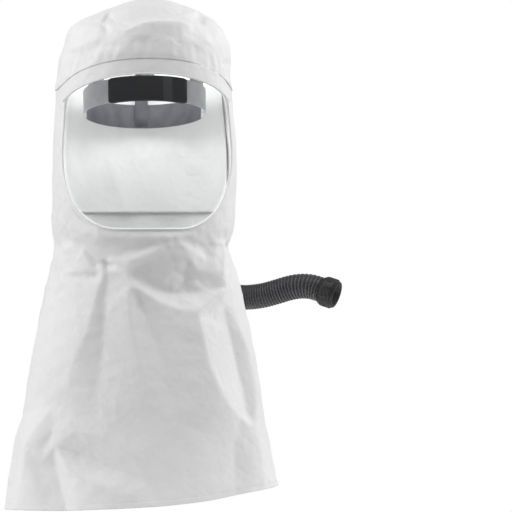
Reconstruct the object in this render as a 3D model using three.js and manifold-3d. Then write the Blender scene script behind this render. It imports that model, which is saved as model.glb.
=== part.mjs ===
// A long respirator hood: a loose white fabric hood with a wide clear visor, a shoulder-length skirt,
// a head harness inside, and a corrugated breathing hose that leaves the back of the neck.
// Millimetres. +X is to the viewer's right of someone who faces the visor, -Y is the front, +Z is up.
// The origin is the centre of the headband, where the wearer's head goes through it.
import * as THREE from "three";
import { mergeVertices } from "three/addons/utils/BufferGeometryUtils.js";
import Module from "manifold-3d";

// Hood sizes
const crownRise = 154; // headband centre up to the top of the hood
const bellLength = 369; // top of the hood down to the waist under the visor
const skirtLength = 394; // waist down to the lowest point of the hem
const faceWidth = 274; // hood across, at the visor
const faceDepth = 276; // hood front to back, at the visor
const hemWidth = 392; // hem across
const hemDepth = 354; // hem front to back
const fabric = 1.5; // fabric wall
const gap = 0.3; // clearance between pieces that lie on each other
const skinGap = 0.6; // clearance under what is laid on the fabric, whose facets don't match its own
const cutReach = 6; // how far the window's cut reaches past the fabric each way
const hemLift = 35; // how far the hem is drawn up at its highest point

// Visor sizes
const visorSweep = 130; // degrees that the window takes of the hood's circumference
const visorDrop = 115; // top of the hood down to the middle of the window's top edge
const visorHeight = 228; // window height in the middle
const visorArch = 36; // how far the top edge falls from its middle to its ends
const upperCorner = 12; // height of the rounded upper corners
const upperCornerSweep = 5; // degrees across a rounded upper corner
const lowerCorner = 118; // height of the rounded lower corners
const lowerCornerSweep = 45; // degrees across a rounded lower corner
const lowerCornerPower = 1.8; // roundness of the lower corners, 2 for an ellipse
const visorWall = 1;
const visorLap = 8; // how far the visor reaches behind the fabric
const trimWidth = 3; // welded edging round the window
const trimWall = 0.8;

// Brow band sizes
const browSweep = 138; // degrees that the band takes of the circumference
const browDrop = 92; // top of the hood down to the middle of the band's top edge
const browArch = 33; // how far the band falls towards its ends
const browWall = 1;

// Head harness sizes
const bandWidth = 184; // headband across
const bandDepth = 197; // headband front to back
const bandHeight = 36;
const bandWall = 2;
const bandTilt = 11.5; // degrees that the headband rises towards the forehead
const strapRise = 80; // headband centre up to the underside of the crown straps
const strapWidth = 20;
const strapWall = 1.5;
const strapFoot = 4; // headband's lower edge up to the ends of the crown straps
const strapClearance = 1.2; // between the crown straps and what they cross
const padFront = 2.2; // sweatband in front of the headband
const padBack = 5; // sweatband behind it, against the forehead
const padOver = 1; // sweatband above and below the headband
const padLeft = -59; // ends of the sweatband, across
const padRight = 60;
const tabInner = 64; // brow tabs, across: their ends towards the middle
const tabOuter = 86; // and their ends towards the sides
const tabStart = 38; // back end of a tab's arm, in front of the headband's centre
const tabArm = 5; // height of the arm that reaches forward to the brow
const tabDrop = 98; // top of the hood down to the top of the arm

// Breathing hose and fittings
const hoseDiameter = 38;
const hoseWall = 2.5;
const portDrop = 235; // top of the hood down to the middle of the port
const portReach = 42; // hood's back to the middle of the hose
const portFlange = 62; // flange diameter
const flangeWall = 2.5;
const spigotDiameter = 44; // outer diameter of the elbow
const spigotWall = 2.5;
const spigotTip = 3; // how far the elbow reaches in past its inner flange
const portFall = 48; // middle of the port down to the spigot's end
const elbowBend = 36; // size of the elbow's bend
const couplingDiameter = 46;
const couplingLength = 25;
const couplingTaper = 3; // how much the coupling's radius narrows at the hose
const couplingTaperLength = 4;
const couplingLip = 41; // diameter of the plug-in end
const couplingLipLength = 4;

// Facet counts
const windowFacets = { across: 30, down: 8 };
const edgingFacets = { across: 22, down: 5 };
const browFacets = { across: 20, down: 3 };
const bandFacets = 36;
const strapFacets = 16;
const portFacets = 24;
const couplingFacets = 28;
const elbowSides = 12;
const elbowSteps = 9;
const hoseSides = 10;
const hoseSteps = 20;

// Sections of the hood. at runs from 0 at the top to 1 at the waist and 2 at the hem. left, right, front
// and back are shares of half the width or depth, and square is the section's superellipse power.
const shoulderAt = 0.142; // where the domed top ends
const sections = [
  { at: 0.142, left: 0.855, right: 0.872, front: 0.885, back: 0.77, square: 2.05 },
  { at: 0.187, left: 0.886, right: 0.925, front: 0.96, back: 0.835, square: 2.08 },
  { at: 0.24, left: 0.937, right: 0.938, front: 1.02, back: 0.877, square: 2.12 },
  { at: 0.33, left: 0.957, right: 0.937, front: 1.058, back: 0.905, square: 2.2 },
  { at: 0.45, left: 0.968, right: 0.96, front: 1.08, back: 0.913, square: 2.25 },
  { at: 0.63, left: 0.998, right: 1.0, front: 1.087, back: 0.893, square: 2.25 },
  { at: 0.81, left: 1.015, right: 0.993, front: 1.08, back: 0.866, square: 2.2 },
  { at: 0.92, left: 1.01, right: 0.964, front: 1.035, back: 0.85, square: 2.15 },
  { at: 1.0, left: 0.99, right: 0.9, front: 0.945, back: 0.848, square: 2.1 },
  { at: 1.04, left: 0.985, right: 0.925, front: 0.935, back: 0.85, square: 2.1 },
  { at: 1.12, left: 1.0, right: 0.972, front: 0.945, back: 0.86, square: 2.1 },
  { at: 1.2, left: 1.02, right: 0.988, front: 0.972, back: 0.885, square: 2.1 },
  { at: 1.31, left: 1.035, right: 0.984, front: 1.005, back: 0.915, square: 2.15 },
  { at: 1.5, left: 1.045, right: 0.979, front: 1.035, back: 0.94, square: 2.2 },
  { at: 1.72, left: 1.04, right: 0.97, front: 1.04, back: 0.96, square: 2.25 },
  { at: 2.0, left: 1.04, right: 0.975, front: 1.035, back: 0.967, square: 2.3 },
];
// How pointed the domed top is towards each side: 1 is round, 2 is nearly a cone.
const domePeak = { left: 2, right: 1.25, front: 1.2, back: 1.2 };

// Folds: straight ridges, or hollows where height is negative, from one place on the hood to another.
// turn is degrees from the middle of the front, at is as in sections, wide and high are shares of foldReach.
const foldReach = 60;
const foldTurnStart = -100; // the folds' turns are counted from here, once round
const folds = [
  // ridge that falls from the pinch towards the left
  { turn: -30, at: 1.12, turnEnd: -55, atEnd: 1.62, wide: 0.4, wideEnd: 0.65, high: 0.2, highEnd: 0.12 },
  // hollow beside it
  { turn: -26, at: 1.18, turnEnd: -36, atEnd: 1.66, wide: 0.36, wideEnd: 0.5, high: -0.2, highEnd: -0.13 },
  // left and right edges of the flat middle of the skirt
  { turn: -12, at: 1.16, turnEnd: -9, atEnd: 1.72, wide: 0.42, wideEnd: 0.6, high: 0.14, highEnd: 0.08 },
  { turn: 32, at: 1.27, turnEnd: 43, atEnd: 1.62, wide: 0.42, wideEnd: 0.5, high: 0.2, highEnd: 0.12 },
  // the flat middle
  { turn: 8, at: 1.24, turnEnd: 14, atEnd: 1.62, wide: 0.9, wideEnd: 1.0, high: -0.12, highEnd: -0.1 },
  // hollow on the right
  { turn: 51, at: 1.22, turnEnd: 62, atEnd: 1.62, wide: 0.4, wideEnd: 0.36, high: -0.2, highEnd: -0.12 },
  // buckle under the visor
  { turn: 4, at: 1.1, turnEnd: 42, atEnd: 1.1, wide: 0.48, wideEnd: 0.42, high: -0.32, highEnd: -0.22 },
  // lip below the buckle
  { turn: 0, at: 1.2, turnEnd: 34, atEnd: 1.22, wide: 0.4, wideEnd: 0.42, high: 0.15, highEnd: 0.18 },
  // fold over the buckle
  { turn: -20, at: 1.03, turnEnd: 36, atEnd: 1.01, wide: 0.32, wideEnd: 0.36, high: 0.1, highEnd: 0.16 },
  // pinch
  { turn: -30, at: 1.08, turnEnd: -26, atEnd: 1.08, wide: 0.42, wideEnd: 0.42, high: -0.2, highEnd: -0.2 },
  // dent above the hem on the left
  { turn: -50, at: 1.76, turnEnd: -22, atEnd: 1.83, wide: 0.4, wideEnd: 0.44, high: -0.15, highEnd: -0.18 },
  // lip of that dent
  { turn: -48, at: 1.86, turnEnd: 0, atEnd: 1.97, wide: 0.36, wideEnd: 0.44, high: 0.12, highEnd: 0.1 },
  // crease along the front of the crown
  { turn: -36, at: 0.12, turnEnd: 34, atEnd: 0.1, wide: 0.34, wideEnd: 0.34, high: 0.06, highEnd: 0.06 },
  // sag of the crown over the brow
  { turn: -34, at: 0.19, turnEnd: 34, atEnd: 0.17, wide: 0.4, wideEnd: 0.4, high: -0.07, highEnd: -0.07 },
  // long soft folds down the back and the sides of the skirt
  { turn: 124, at: 1.15, turnEnd: 120, atEnd: 2.0, wide: 0.4, wideEnd: 0.7, high: 0.06, highEnd: 0.22 },
  { turn: 144, at: 1.2, turnEnd: 143, atEnd: 2.0, wide: 0.4, wideEnd: 0.6, high: -0.1, highEnd: -0.22 },
  { turn: 166, at: 1.3, turnEnd: 165, atEnd: 2.0, wide: 0.4, wideEnd: 0.7, high: 0.06, highEnd: 0.2 },
  { turn: 196, at: 1.3, turnEnd: 194, atEnd: 2.0, wide: 0.4, wideEnd: 0.7, high: -0.08, highEnd: -0.24 },
  { turn: 218, at: 1.15, turnEnd: 220, atEnd: 2.0, wide: 0.4, wideEnd: 0.7, high: 0.08, highEnd: 0.24 },
  { turn: 243, at: 1.2, turnEnd: 244, atEnd: 2.0, wide: 0.4, wideEnd: 0.6, high: -0.1, highEnd: -0.2 },
];

// How far the hem is drawn up round the skirt, as a share of hemLift.
const hemLifts = [
  { turn: -90, share: 0 },
  { turn: -50, share: 0.07 },
  { turn: -10, share: 0.2 },
  { turn: 20, share: 0.48 },
  { turn: 45, share: 0.8 },
  { turn: 70, share: 0.97 },
  { turn: 90, share: 1 },
  { turn: 180, share: 0.5 },
  { turn: 270, share: 0 },
];

// Where the rows of the fabric's facets lie, in the same measure as sections.
const rows = [
  0.006, 0.022, 0.05, 0.09, 0.142, 0.19, 0.25, 0.33, 0.44, 0.57, 0.7, 0.8, 0.88, 0.94, 0.985, 1.0,
  1.035, 1.07, 1.105, 1.145, 1.19, 1.24, 1.31, 1.4, 1.5, 1.61, 1.72, 1.8, 1.87, 1.94, 2.0,
];
const frontStep = 6.285; // degrees between the columns of facets, in front
const backStep = 13;
const frontSweep = 88; // degrees each way that count as the front

// The hose's route from the port's end to the coupling: how far across, back and up each point is.
const hoseRoute = [
  [0, 0, 0],
  [0, 0, -12],
  [3, 1, -36],
  [11, 1.5, -60],
  [25, 1, -84],
  [44, -0.5, -107],
  [68, -4, -128],
  [95, -9.5, -145],
  [125, -16.5, -158],
  [157, -25, -163.5],
  [185, -35, -161],
  [205, -42, -155.8],
  [223.5, -49.5, -150],
  [238, -56.5, -147],
  [251, -62.5, -146.5],
  [262, -67, -148.2],
  [273, -71.5, -152],
];

// Colours
const white = new THREE.MeshStandardMaterial({ color: 0xe9eaea, roughness: 0.75, metalness: 0 });
const trimWhite = new THREE.MeshStandardMaterial({ color: 0xf3f4f4, roughness: 0.6, metalness: 0 });
const clear = new THREE.MeshStandardMaterial({ color: 0xe6ebe8, roughness: 0.08, metalness: 0 });
const greyPlastic = new THREE.MeshStandardMaterial({ color: 0xa6a8af, roughness: 0.5, metalness: 0 });
const blackFoam = new THREE.MeshStandardMaterial({ color: 0x2b2a30, roughness: 0.85, metalness: 0 });
const blackPlastic = new THREE.MeshStandardMaterial({ color: 0x262628, roughness: 0.45, metalness: 0 });
const blackRubber = new THREE.MeshStandardMaterial({ color: 0x202024, roughness: 0.5, metalness: 0 });

const radians = THREE.MathUtils.degToRad;
const mix = THREE.MathUtils.lerp;
const meanReach = (faceWidth + faceDepth) / 4;

const wasm = await Module();
wasm.setup();

// A turn in degrees, counted from the lowest one, once round.
function countedFrom(lowest, turn) {
  return turn < lowest ? turn + 360 : turn;
}

// The height of a level of the hood, above the headband's centre.
function levelHeight(at) {
  const belowWaist = Math.max(at - 1, 0);
  return crownRise - bellLength * Math.min(at, 1) - skirtLength * belowWaist;
}

// A column of a table at a key, on a smooth curve through its rows.
function follow(table, keyName, column, key) {
  const last = table.length - 1;
  let i = 0;
  while (i < last - 1 && key > table[i + 1][keyName]) i++;
  const slope = (j) => {
    const a = table[Math.max(j - 1, 0)];
    const b = table[Math.min(j + 1, last)];
    return (b[column] - a[column]) / (b[keyName] - a[keyName]);
  };
  const from = table[i];
  const to = table[i + 1];
  const span = to[keyName] - from[keyName];
  const t = THREE.MathUtils.clamp((key - from[keyName]) / span, 0, 1);
  const keep = 1 - t;
  return (
    from[column] * keep * keep * (1 + 2 * t) +
    to[column] * t * t * (3 - 2 * t) +
    slope(i) * span * t * keep * keep -
    slope(i + 1) * span * t * t * keep
  );
}

// The hood's reach to one side at a level: half its width or depth there.
function reach(side, at) {
  const flare = Math.max(at - 1, 0);
  const across = side === "left" || side === "right";
  const whole = across ? mix(faceWidth, hemWidth, flare) : mix(faceDepth, hemDepth, flare);
  const full = (whole / 2) * follow(sections, "at", side, Math.max(at, shoulderAt));
  if (at >= shoulderAt) return full;
  const fallen = 1 - at / shoulderAt;
  return full * Math.pow(Math.sqrt(1 - fallen * fallen), domePeak[side]);
}

// How far the folds move the fabric outwards at a place.
function foldRise(turn, at) {
  const flat = (someTurn, someAt) => new THREE.Vector2(radians(someTurn) * meanReach, levelHeight(someAt));
  const place = flat(countedFrom(foldTurnStart, turn), at);
  let rise = 0;
  for (const fold of folds) {
    const start = flat(fold.turn, fold.at);
    const along = flat(fold.turnEnd, fold.atEnd).sub(start);
    const share = THREE.MathUtils.clamp(place.clone().sub(start).dot(along) / along.lengthSq(), 0, 1);
    const away = place.distanceTo(start.addScaledVector(along, share));
    const wide = foldReach * mix(fold.wide, fold.wideEnd, share);
    const high = foldReach * mix(fold.high, fold.highEnd, share);
    if (away < wide) rise += high * (0.5 + 0.5 * Math.cos((Math.PI * away) / wide));
  }
  return rise;
}

// A place on the hood's smooth form, without folds.
function smoothPlace(turn, at) {
  const angle = radians(turn);
  const square = 2 / follow(sections, "at", "square", Math.max(at, shoulderAt));
  const sideways = Math.sign(Math.sin(angle)) * Math.pow(Math.abs(Math.sin(angle)), square);
  const forwards = Math.sign(Math.cos(angle)) * Math.pow(Math.abs(Math.cos(angle)), square);
  const belowWaist = Math.max(at - 1, 0);
  const liftShare = follow(hemLifts, "turn", "share", countedFrom(hemLifts[0].turn, turn));
  const lift = hemLift * liftShare * belowWaist * belowWaist;
  return new THREE.Vector3(
    sideways * reach(sideways < 0 ? "left" : "right", at),
    -forwards * reach(forwards > 0 ? "front" : "back", at),
    levelHeight(at) + lift,
  );
}

// The direction out of the smooth form at a place.
function outwards(turn, at) {
  const nudgeTurn = 0.5;
  const nudgeAt = 0.004;
  const nearTop = nudgeAt / 2;
  const low = Math.min(at + nudgeAt, 2);
  const high = Math.max(at - nudgeAt, nearTop);
  const around = smoothPlace(turn + nudgeTurn, at).sub(smoothPlace(turn - nudgeTurn, at));
  const up = smoothPlace(turn, high).sub(smoothPlace(turn, low));
  return around.cross(up).normalize();
}

// A place on the fabric, or offset from it: positive is outside.
function hoodPlace(turn, at, offset) {
  const rise = foldRise(turn, at) + offset;
  return smoothPlace(turn, at).addScaledVector(outwards(turn, at), rise);
}

// A closed solid of points and triangles, as three.js geometry.
function geometryOf(points, faces) {
  const geometry = new THREE.BufferGeometry();
  const numbers = points.flatMap((p) => [p.x, p.y, p.z]);
  geometry.setAttribute("position", new THREE.Float32BufferAttribute(numbers, 3));
  geometry.setIndex(faces.flat());
  return geometry;
}

function toSolid(geometry) {
  const bare = geometry.clone();
  bare.deleteAttribute("normal");
  bare.deleteAttribute("uv");
  const merged = mergeVertices(bare, 1e-4);
  const vertProperties = merged.getAttribute("position").array;
  const triVerts = new Uint32Array(merged.index.array);
  return new wasm.Manifold(new wasm.Mesh({ numProp: 3, vertProperties, triVerts }));
}

function toGeometry(solid) {
  const mesh = solid.getMesh();
  const geometry = new THREE.BufferGeometry();
  geometry.setAttribute("position", new THREE.Float32BufferAttribute(mesh.vertProperties, 3));
  geometry.setIndex(new THREE.BufferAttribute(mesh.triVerts, 1));
  geometry.computeVertexNormals();
  return geometry;
}

// The columns of the fabric's facets, in degrees from the front.
function columnTurns() {
  const turns = [];
  const inFront = Math.round((2 * frontSweep) / frontStep);
  for (let i = 0; i < inFront; i++) turns.push(-frontSweep + (2 * frontSweep * i) / inFront);
  const behind = 360 - 2 * frontSweep;
  const count = Math.round(behind / backStep);
  for (let i = 0; i < count; i++) turns.push(frontSweep + (behind * i) / count);
  return turns;
}
const turns = columnTurns();

// Adds one skin of the hood, from its top down to a level, and says where its vertices begin.
function addSkin(points, faces, levels, offset, facesOut) {
  const first = points.length;
  points.push(new THREE.Vector3(0, 0, crownRise + foldRise(0, 0) + offset));
  for (const at of levels) for (const turn of turns) points.push(hoodPlace(turn, at, offset));
  const around = turns.length;
  const vertex = (row, column) => first + 1 + row * around + (column % around);
  const add = (a, b, c) => faces.push(facesOut ? [a, b, c] : [a, c, b]);
  for (let column = 0; column < around; column++) {
    add(first, vertex(0, column), vertex(0, column + 1));
    for (let row = 0; row + 1 < levels.length; row++) {
      const [a, b] = [vertex(row, column), vertex(row, column + 1)];
      const [c, d] = [vertex(row + 1, column), vertex(row + 1, column + 1)];
      add(a, c, d);
      add(a, d, b);
    }
  }
  return (column) => vertex(levels.length - 1, column);
}

// The hood as a thin shell, open at the hem.
function hoodShell() {
  const points = [];
  const faces = [];
  const outer = addSkin(points, faces, rows, 0, true);
  const inner = addSkin(points, faces, rows, -fabric, false);
  for (let column = 0; column < turns.length; column++) {
    faces.push([outer(column), inner(column), inner(column + 1)]);
    faces.push([outer(column), inner(column + 1), outer(column + 1)]);
  }
  return toSolid(geometryOf(points, faces));
}

// The space inside the bell of the hood, grown by an offset, as a closed solid.
function bellSolid(offset) {
  const levels = rows.filter((at) => at <= 1);
  const points = [];
  const faces = [];
  const rim = addSkin(points, faces, levels, offset, true);
  const middle = points.length;
  points.push(new THREE.Vector3(0, 0, levelHeight(1)));
  for (let column = 0; column < turns.length; column++) {
    faces.push([middle, rim(column + 1), rim(column)]);
  }
  return toSolid(geometryOf(points, faces));
}

// A skin between two offsets from the hood's surface.
function layer(inside, outside) {
  return bellSolid(outside).subtract(bellSolid(inside));
}

// The level of a drop below the top of the hood.
const levelOf = (drop) => drop / bellLength;

// A curved plate between two offsets from the hood's surface. outline gives its top and bottom drop for
// each turn, and across and down are how many facets it has each way.
function plateOf(sweep, outline, inside, outside, { across, down }) {
  const points = [];
  const faces = [];
  for (const offset of [inside, outside]) {
    for (let i = 0; i <= across; i++) {
      const turn = columnTurn(sweep, i / across);
      const { top, bottom } = outline(turn);
      for (let j = 0; j <= down; j++) {
        points.push(hoodPlace(turn, levelOf(mix(top, bottom, j / down)), offset));
      }
    }
  }
  const skin = (across + 1) * (down + 1);
  const vertex = (side, i, j) => side * skin + i * (down + 1) + j;
  const quad = (a, b, c, d) => faces.push([a, b, c], [a, c, d]);
  for (let i = 0; i < across; i++) {
    for (let j = 0; j < down; j++) {
      quad(vertex(1, i, j), vertex(1, i, j + 1), vertex(1, i + 1, j + 1), vertex(1, i + 1, j));
      quad(vertex(0, i, j), vertex(0, i + 1, j), vertex(0, i + 1, j + 1), vertex(0, i, j + 1));
    }
    quad(vertex(0, i, 0), vertex(1, i, 0), vertex(1, i + 1, 0), vertex(0, i + 1, 0));
    quad(vertex(0, i, down), vertex(0, i + 1, down), vertex(1, i + 1, down), vertex(1, i, down));
  }
  for (let j = 0; j < down; j++) {
    const end = across;
    quad(vertex(0, 0, j), vertex(0, 0, j + 1), vertex(1, 0, j + 1), vertex(1, 0, j));
    quad(vertex(0, end, j), vertex(1, end, j), vertex(1, end, j + 1), vertex(0, end, j + 1));
  }
  return toSolid(geometryOf(points, faces));
}

// The turn at a share of the way across a sweep: columns crowd towards both ends, where corners are round.
function columnTurn(sweep, share) {
  return (Math.sin(radians(mix(-90, 90, share))) * sweep) / 2;
}

// How far a rounded corner has come in, as a share of its size, at a share of the way across it.
function cornerRise(share, power) {
  const t = THREE.MathUtils.clamp(share, 0, 1);
  return 1 - Math.pow(1 - Math.pow(t, power), 1 / power);
}

// The sweep of the window grown all round by some millimetres.
function windowSweep(grow) {
  return visorSweep + 2 * THREE.MathUtils.radToDeg(grow / meanReach);
}

// The top and bottom of the grown window at a turn.
function windowOutline(grow) {
  const sweep = windowSweep(grow);
  return (turn) => {
    const away = Math.abs(turn);
    const archShare = away / (visorSweep / 2);
    const upperShare = (away - sweep / 2 + upperCornerSweep) / upperCornerSweep;
    const lowerShare = (away - sweep / 2 + lowerCornerSweep) / lowerCornerSweep;
    const arch = visorArch * archShare * archShare;
    return {
      top: visorDrop - grow + arch + upperCorner * cornerRise(upperShare, 2),
      bottom: visorDrop + visorHeight + grow - lowerCorner * cornerRise(lowerShare, lowerCornerPower),
    };
  };
}

// A solid across the fabric wall, inside the grown window's outline.
function windowCutter(grow) {
  return plateOf(windowSweep(grow), windowOutline(grow), -cutReach, cutReach, windowFacets);
}

// The grown window's outline as places on the hood, once round.
function windowLoop(grow) {
  const { across, down } = edgingFacets;
  const sweep = windowSweep(grow);
  const outline = windowOutline(grow);
  const loop = [];
  const add = (i, share) => {
    const turn = columnTurn(sweep, i / across);
    const { top, bottom } = outline(turn);
    loop.push({ turn, at: levelOf(mix(top, bottom, share)) });
  };
  for (let i = 0; i <= across; i++) add(i, 0);
  for (let j = 1; j < down; j++) add(across, j / down);
  for (let i = across; i >= 0; i--) add(i, 1);
  for (let j = down - 1; j > 0; j--) add(0, j / down);
  return loop;
}

// The flat edging that is welded on round the window.
function visorEdging() {
  const points = [];
  const faces = [];
  for (const grow of [0, trimWidth]) {
    for (const offset of [skinGap, skinGap + trimWall]) {
      for (const { turn, at } of windowLoop(grow)) points.push(hoodPlace(turn, at, offset));
    }
  }
  const count = points.length / 4;
  for (let i = 0; i < count; i++) {
    const next = (i + 1) % count;
    const strip = (a, b) => {
      faces.push([a * count + i, b * count + next, b * count + i]);
      faces.push([a * count + i, a * count + next, b * count + next]);
    };
    strip(0, 1);
    strip(1, 3);
    strip(3, 2);
    strip(2, 0);
  }
  return geometryOf(points, faces);
}

// The brow band: its lower edge follows the window's edging.
function browBand() {
  const outline = (turn) => {
    const archShare = turn / (visorSweep / 2);
    return {
      top: browDrop + browArch * archShare * archShare,
      bottom: visorDrop - trimWidth - gap + visorArch * archShare * archShare,
    };
  };
  return plateOf(browSweep, outline, skinGap, skinGap + browWall, browFacets);
}

function extrude(shape, depth, curveSegments) {
  return new THREE.ExtrudeGeometry(shape, { depth, bevelEnabled: false, curveSegments });
}

// A horizontal ring that follows the headband's outline, from one offset to another outside it.
function bandRing(inside, outside, height) {
  const shape = new THREE.Shape();
  shape.absellipse(0, 0, bandWidth / 2 + outside, bandDepth / 2 + outside, 0, 2 * Math.PI);
  const hole = new THREE.Path();
  hole.absellipse(0, 0, bandWidth / 2 + inside, bandDepth / 2 + inside, 0, 2 * Math.PI, true);
  shape.holes.push(hole);
  return extrude(shape, height, bandFacets).translate(0, 0, -height / 2);
}

// The part of a solid in front of the head between two places across.
function frontSlice(solid, from, to) {
  const box = new THREE.BoxGeometry(to - from, faceDepth, 2 * faceDepth);
  return solid.intersect(toSolid(box.translate((from + to) / 2, -faceDepth / 2, 0)));
}

// Turns a solid of the harness from its own level frame to its tilt on the head.
function tilted(solid) {
  return solid.rotate([-bandTilt, 0, 0]);
}

// A strap that arches over the head, drawn in a plane: half is how far it reaches to each side.
function crownStrap(half, rise) {
  const base = -bandHeight / 2 + strapFoot;
  const inner = half - strapWall;
  const shape = new THREE.Shape();
  shape.moveTo(half, base);
  shape.lineTo(half, 0);
  shape.absellipse(0, 0, half, rise + strapWall, 0, Math.PI);
  shape.lineTo(-half, base);
  shape.lineTo(-inner, base);
  shape.lineTo(-inner, 0);
  shape.absellipse(0, 0, inner, rise, Math.PI, 0, true);
  shape.lineTo(inner, base);
  const flat = extrude(shape, strapWidth, strapFacets);
  return flat.translate(0, 0, -strapWidth / 2).rotateX(Math.PI / 2);
}

// A tab that stands on the headband and reaches forward to the inside of the brow.
function browTab(from, to) {
  const tall = faceDepth / 2;
  const stand = bandRing(-bandWall, 0, tall).translate(0, 0, tall / 2 + bandHeight / 2 + gap);
  const armTop = crownRise - tabDrop;
  const below = new THREE.BoxGeometry(faceWidth, faceDepth, tall);
  below.translate(0, 0, armTop - tall / 2);
  const arm = new THREE.BoxGeometry(to - from, faceDepth, tabArm);
  arm.translate((from + to) / 2, -tabStart - faceDepth / 2, armTop - tabArm / 2);
  const riser = tilted(frontSlice(toSolid(stand), from, to)).intersect(toSolid(below));
  return riser.add(toSolid(arm)).intersect(bellSolid(-fabric - gap));
}

// The corners of a regular polygon.
function polygon(radius, sides) {
  const corner = (i) => (2 * Math.PI * i) / sides;
  const place = (angle) => new THREE.Vector2(radius * Math.cos(angle), radius * Math.sin(angle));
  return Array.from({ length: sides }, (_, i) => place(corner(i)));
}

// A pipe along a curve as one closed solid, with a bore where innerRadius isn't 0.
function pipe(curve, outerRadius, innerRadius, sides, steps) {
  const shape = new THREE.Shape(polygon(outerRadius, sides));
  if (innerRadius > 0) shape.holes.push(new THREE.Path(polygon(innerRadius, sides)));
  return new THREE.ExtrudeGeometry(shape, { steps, bevelEnabled: false, extrudePath: curve });
}

const portHeight = crownRise - portDrop;
const hoodBack = reach("back", levelOf(portDrop));
const hoseBack = hoodBack + portReach;
const hoseStart = new THREE.Vector3(0, hoseBack, portHeight - portFall);

// The middle line of the elbow: straight back through the fabric, then round and down to the hose.
function elbowCurve(extra) {
  const innerEnd = hoodBack - fabric - flangeWall - spigotTip;
  const inside = new THREE.Vector3(0, innerEnd - extra, portHeight);
  const bendStart = new THREE.Vector3(0, hoseBack - elbowBend, portHeight);
  const corner = new THREE.Vector3(0, hoseBack, portHeight);
  const bendEnd = new THREE.Vector3(0, hoseBack, portHeight - elbowBend);
  const path = new THREE.CurvePath();
  path.add(new THREE.LineCurve3(inside, bendStart));
  path.add(new THREE.QuadraticBezierCurve3(bendStart, corner, bendEnd));
  path.add(new THREE.LineCurve3(bendEnd, hoseStart.clone().setZ(hoseStart.z - extra)));
  return path;
}

// A round bar through the hood's back at the port.
function portBar(radius) {
  const bar = new THREE.CylinderGeometry(radius, radius, faceDepth / 4, portFacets);
  return toSolid(bar.translate(0, hoodBack, portHeight));
}

// The port: an elbow with a flange on each side of the fabric.
function hosePort() {
  const boreRadius = spigotDiameter / 2 - spigotWall;
  const elbow = toSolid(pipe(elbowCurve(0), spigotDiameter / 2, 0, elbowSides, elbowSteps));
  const bore = toSolid(pipe(elbowCurve(1), boreRadius, 0, elbowSides, elbowSteps));
  const flanges = layer(gap, gap + flangeWall).add(layer(-fabric - gap - flangeWall, -fabric - gap));
  return elbow.add(flanges.intersect(portBar(portFlange / 2))).subtract(bore);
}

function hoseCurve() {
  const points = hoseRoute.map(([across, back, up]) =>
    new THREE.Vector3(across, back, up - gap).add(hoseStart),
  );
  return new THREE.CatmullRomCurve3(points, false, "centripetal");
}

// The coupling: a round body that grips the hose's end, and a narrower lip that plugs in.
function couplingGeometry() {
  const [outer, lip, bore] = [couplingDiameter / 2, couplingLip / 2, hoseDiameter / 2 - hoseWall];
  const body = couplingLength - couplingLipLength;
  const profile = [
    [bore, 0],
    [outer - couplingTaper, 0],
    [outer, couplingTaperLength],
    [outer, body],
    [lip, body],
    [lip, couplingLength],
    [bore, couplingLength],
    [bore, 0],
  ];
  const points = profile.map(([radius, height]) => new THREE.Vector2(radius, height));
  return new THREE.LatheGeometry(points, couplingFacets);
}

const hood = new THREE.Group();

function addPiece(name, geometry, material, parent = hood) {
  const mesh = new THREE.Mesh(geometry, material);
  mesh.name = name;
  parent.add(mesh);
  return mesh;
}

// Fabric, window and visor
const portHole = portBar(spigotDiameter / 2 + gap);
const fabricShell = hoodShell().subtract(windowCutter(0)).subtract(portHole);
addPiece("hood_shell", toGeometry(fabricShell), white);

const visorOuter = -fabric - gap;
const visorPlate = layer(visorOuter - visorWall, visorOuter).intersect(windowCutter(visorLap));
addPiece("visor", toGeometry(visorPlate), clear);

addPiece("visor_edging", visorEdging(), trimWhite);
addPiece("brow_band", toGeometry(browBand()), white);

// Head harness, in its own level frame and then tilted
const harness = new THREE.Group();
harness.rotation.x = radians(-bandTilt);
hood.add(harness);
addPiece("headband", bandRing(-bandWall, 0, bandHeight), greyPlastic, harness);
const sleeve = toSolid(bandRing(-bandWall - padBack, padFront, bandHeight + 2 * padOver)).subtract(
  toSolid(bandRing(-bandWall - gap, gap, bandHeight + 2 * gap)),
);
addPiece("sweatband", toGeometry(frontSlice(sleeve, padLeft, padRight)), blackFoam, harness);
const acrossHalf = bandWidth / 2 - bandWall - strapClearance;
const acrossRise = strapRise + strapWall + strapClearance;
addPiece("crown_strap_across", crownStrap(acrossHalf, acrossRise), greyPlastic, harness);
const alongHalf = (bandDepth - padBack) / 2 - bandWall - strapClearance;
const along = addPiece("crown_strap_along", crownStrap(alongHalf, strapRise), greyPlastic, harness);
along.rotation.z = Math.PI / 2;
along.position.y = padBack / 2;

addPiece("brow_tab_left", toGeometry(browTab(-tabOuter, -tabInner)), greyPlastic);
addPiece("brow_tab_right", toGeometry(browTab(tabInner, tabOuter)), greyPlastic);

// Hose and fittings
addPiece("hose_port", toGeometry(hosePort()), blackPlastic);
const hoseLine = hoseCurve();
const hoseRadius = hoseDiameter / 2;
addPiece("hose", pipe(hoseLine, hoseRadius, hoseRadius - hoseWall, hoseSides, hoseSteps), blackRubber);
const couplingMesh = addPiece("hose_coupling", couplingGeometry(), blackPlastic);
const hoseEnd = hoseLine.getTangent(1);
couplingMesh.quaternion.setFromUnitVectors(new THREE.Vector3(0, 1, 0), hoseEnd);
couplingMesh.position.copy(hoseLine.getPoint(1)).addScaledVector(hoseEnd, gap);

export default hood;
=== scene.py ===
"""A long respirator hood: white fabric, a clear curved visor, a head harness and a corrugated hose.

Metres. +X is to the viewer's right of someone who faces the visor, -Y is the front, +Z is up, and the
origin is the centre of the headband. The construction's sizes are in millimetres, and MM turns them.
"""

import math

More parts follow.
